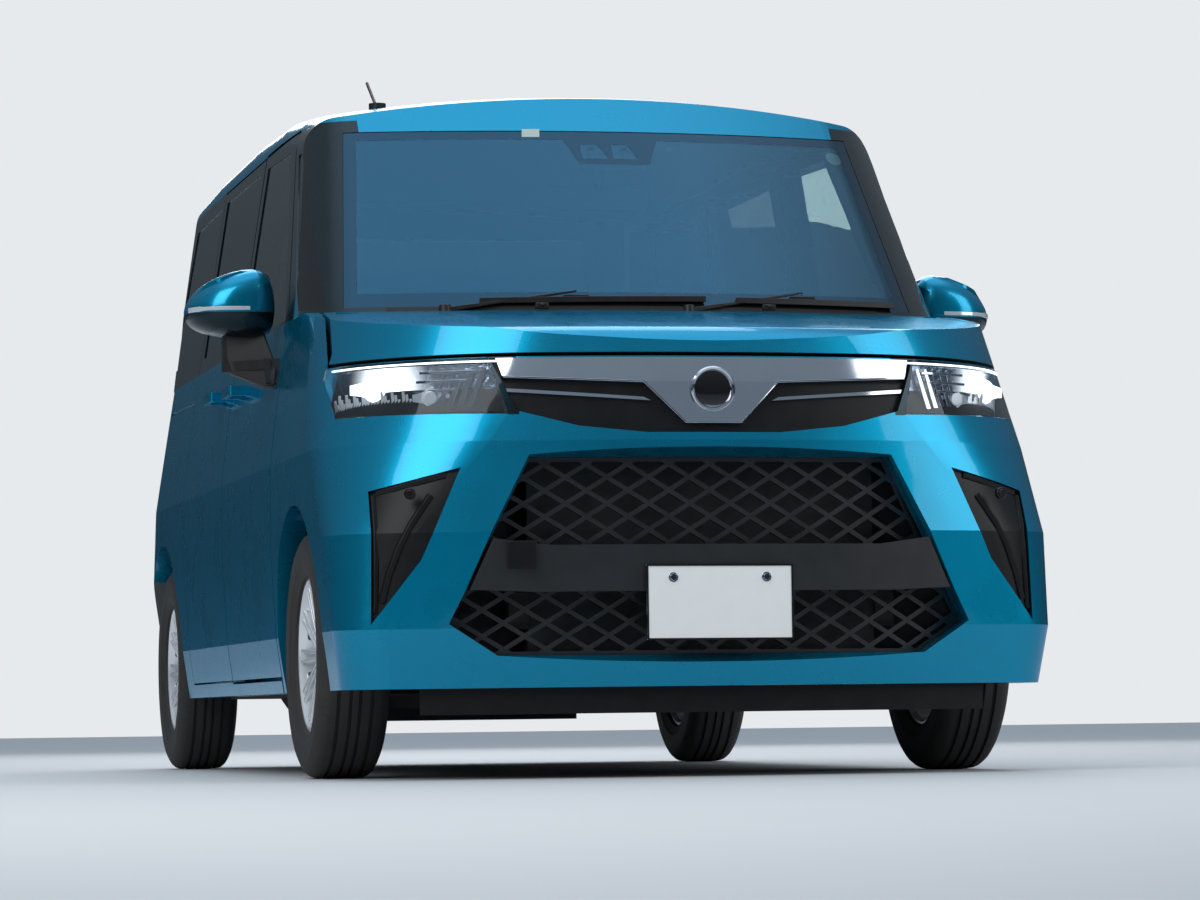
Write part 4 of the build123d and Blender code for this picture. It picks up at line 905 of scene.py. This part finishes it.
def add_pad(mesh, low, high, waist=0.94):
    """A block of foam, drawn in between its corners."""
    middle = (Vector(low) + Vector(high)) / 2
    block = bmesh.ops.create_cube(mesh, size=1)["verts"]
    bmesh.ops.scale(mesh, verts=block, vec=Vector(high) - Vector(low))
    edges = {edge for corner in block for edge in corner.link_edges}
    bmesh.ops.subdivide_edges(mesh, edges=list(edges), cuts=1, use_grid_fill=True)
    pad = [corner for corner in mesh.verts if corner.tag is False]
    for corner in pad:
        on_edge = sum(abs(corner.co[axis]) < 0.001 for axis in range(3)) == 1
        if on_edge:
            corner.co *= waist
        corner.co += middle
        corner.tag = True
    return pad


def lean(mesh, pad, angle, about):
    """Tips a pad backwards about a line across the car."""
    bmesh.ops.rotate(mesh, verts=pad, cent=about, matrix=Matrix.Rotation(-angle, 3, "X"))


cloth_finish, tree, shader = new_material("seat_cover")
place = split(tree, "Object")
threads = maths(tree, "MULTIPLY", maths(tree, "SINE", maths(tree, "MULTIPLY", place[0], 3200)),
                maths(tree, "SINE", maths(tree, "MULTIPLY", maths(tree, "ADD", place[1], place[2]), 3200)))
off_middle = maths(tree, "ABSOLUTE", maths(tree, "SUBTRACT", maths(tree, "PINGPONG", maths(tree, "ADD", place[0], 0.744), 0.372),
                                           0.186))
bolster = maths(tree, "LESS_THAN", off_middle, 0.045)
woven = blend_colours(tree, noise(tree, 60, 5), (0.030, 0.031, 0.034, 1), (0.060, 0.061, 0.066, 1))
plainer = blend_colours(tree, noise(tree, 30, 5), (0.014, 0.014, 0.016, 1), (0.026, 0.026, 0.029, 1))
tree.links.new(blend_colours(tree, bolster, woven, plainer), shader.inputs["Base Color"])
shader.inputs["Roughness"].default_value = 0.88
shader.inputs["Sheen Weight"].default_value = 0.25
seam = maths(tree, "LESS_THAN", maths(tree, "ABSOLUTE", maths(tree, "SUBTRACT", off_middle, 0.045)), 0.003)
relief(tree, shader, maths(tree, "SUBTRACT", maths(tree, "MULTIPLY", threads, 0.12), seam), 0.0015)

# each seat: its cushion, its backrest and its head restraint, as low corner, high corner, lean, swell and voxel
FRONT_PADS = [
    ("cushion", (-0.225, -0.315, 0.455), (0.225, 0.215, 0.545), 0.0, 0.016),
    ("backrest", (-0.220, 0.205, 0.500), (0.220, 0.290, 1.060), 14.5, 0.018),
    ("head_restraint", (-0.098, 0.348, 1.105), (0.098, 0.408, 1.245), 0.0, 0.010),
]
BENCH_ROW = [
    ("cushion", (-0.180, 0.575, 0.455), (0.180, 1.035, 0.540), 0.0, 0.016),
    ("backrest", (-0.180, 1.040, 0.500), (0.180, 1.115, 1.015), 13.5, 0.016),
    ("head_restraint", (-0.100, 1.160, 1.045), (0.100, 1.215, 1.190), 0.0, 0.009),
]
for name, low, high, tip, swell in FRONT_PADS:
    for hand, x in (("l", FRONT_SEAT_X), ("r", -FRONT_SEAT_X)):
        mesh = bmesh.new()
        pad = add_pad(mesh, (low[0] + x, *low[1:]), (high[0] + x, *high[1:]))
        lean(mesh, pad, radians(tip), (x, (low[1] + high[1]) / 2, low[2]))
        made = make_piece(stuff(mesh, 0.014, swell), f"front_{name}_{hand}", "body", cloth_finish, levels=1)
        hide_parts("seats")
for name, low, high, tip, swell in BENCH_ROW:
    mesh = bmesh.new()
    for x in BENCH_PADS:
        pad = add_pad(mesh, (low[0] + x, *low[1:]), (high[0] + x, *high[1:]))
        lean(mesh, pad, radians(tip), (x, (low[1] + high[1]) / 2, low[2]))
    made = make_piece(stuff(mesh, 0.014, swell), f"bench_{name}", "body", cloth_finish, levels=1)
    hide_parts("seats")
mesh = bmesh.new()
for x in (-FRONT_SEAT_X, FRONT_SEAT_X):
    add_bar(mesh, (x - 0.190, sum(BASE_Y) / 2, 0.345), (x + 0.190, sum(BASE_Y) / 2, 0.345), 0.430, 0.200)
    for rail in (-0.165, 0.165):
        add_bar(mesh, (x + rail, -0.245, 0.236), (x + rail, 0.215, 0.236), 0.030, 0.018)
add_bar(mesh, (-0.530, 0.780, 0.340), (0.530, 0.780, 0.340), 0.270, 0.215)
make_piece(mesh, "seat_bases", "body", dash_plastic, 0.012, 3)
mesh = bmesh.new()
for x in (-FRONT_SEAT_X, FRONT_SEAT_X):
    for post in (-0.05, 0.05):
        add_disc(mesh, (x + post, 0.375, 1.080), (0, 0.05, 1), 0.006, 0.110, 16)
for x in BENCH_PADS:
    for post in (-0.05, 0.05):
        add_disc(mesh, (x + post, 1.180, 1.020), (0, 0.1, 1), 0.006, 0.110, 16)
make_piece(mesh, "restraint_posts", "body", bright_plating)

# Tail lamps: behind the red lens, two columns of six lamp cells in the headlamp bowls' plated finish. The
# tailgate has a pull handle, a wiper on its window and a high brake lamp under the spoiler.
mesh = bmesh.new()
for level in range(6):
    z = 0.903 + 0.045 * level
    for x, y in ((0.637, 1.7130), (0.684, 1.6790)):
        add_disc(mesh, (x, y - 0.205 * (z - 0.95), z), (0.66, 1, 0.2), 0.017, 0.007, 20, 0.8)
mirror_copy(mesh)
make_piece(mesh, "tail_cells", "body", bowl_with_painted_glow, 0.001)
mesh = bmesh.new()
add_bar(mesh, (-0.170, 1.838, 0.842), (0.170, 1.838, 0.842), 0.018, 0.036)
make_piece(mesh, "tailgate_handle", "tail_door", grained_black, 0.005, 3)
mesh = bmesh.new()
add_bar(mesh, (-0.140, 1.795, 1.662), (0.140, 1.795, 1.662), 0.016, 0.012)
make_piece(mesh, "high_brake_lamp", "tail_door", tail_lens, 0.003)
mesh = bmesh.new()
add_disc(mesh, (0.0, 1.806, 1.105), (0, 1, 0), 0.020, 0.030, 24, 0.8)
add_bar(mesh, (0.0, 1.818, 1.105), (-0.060, 1.802, 1.170), 0.020, 0.010, 0.7)
add_bar(mesh, (-0.060, 1.802, 1.170), (-0.155, 1.792, 1.215), 0.012, 0.008, 0.8)
add_bar(mesh, (-0.330, 1.784, 1.205), (0.010, 1.793, 1.222), 0.014, 0.012)
make_piece(mesh, "tailgate_wiper", "tail_door", wiper_black, 0.0015)
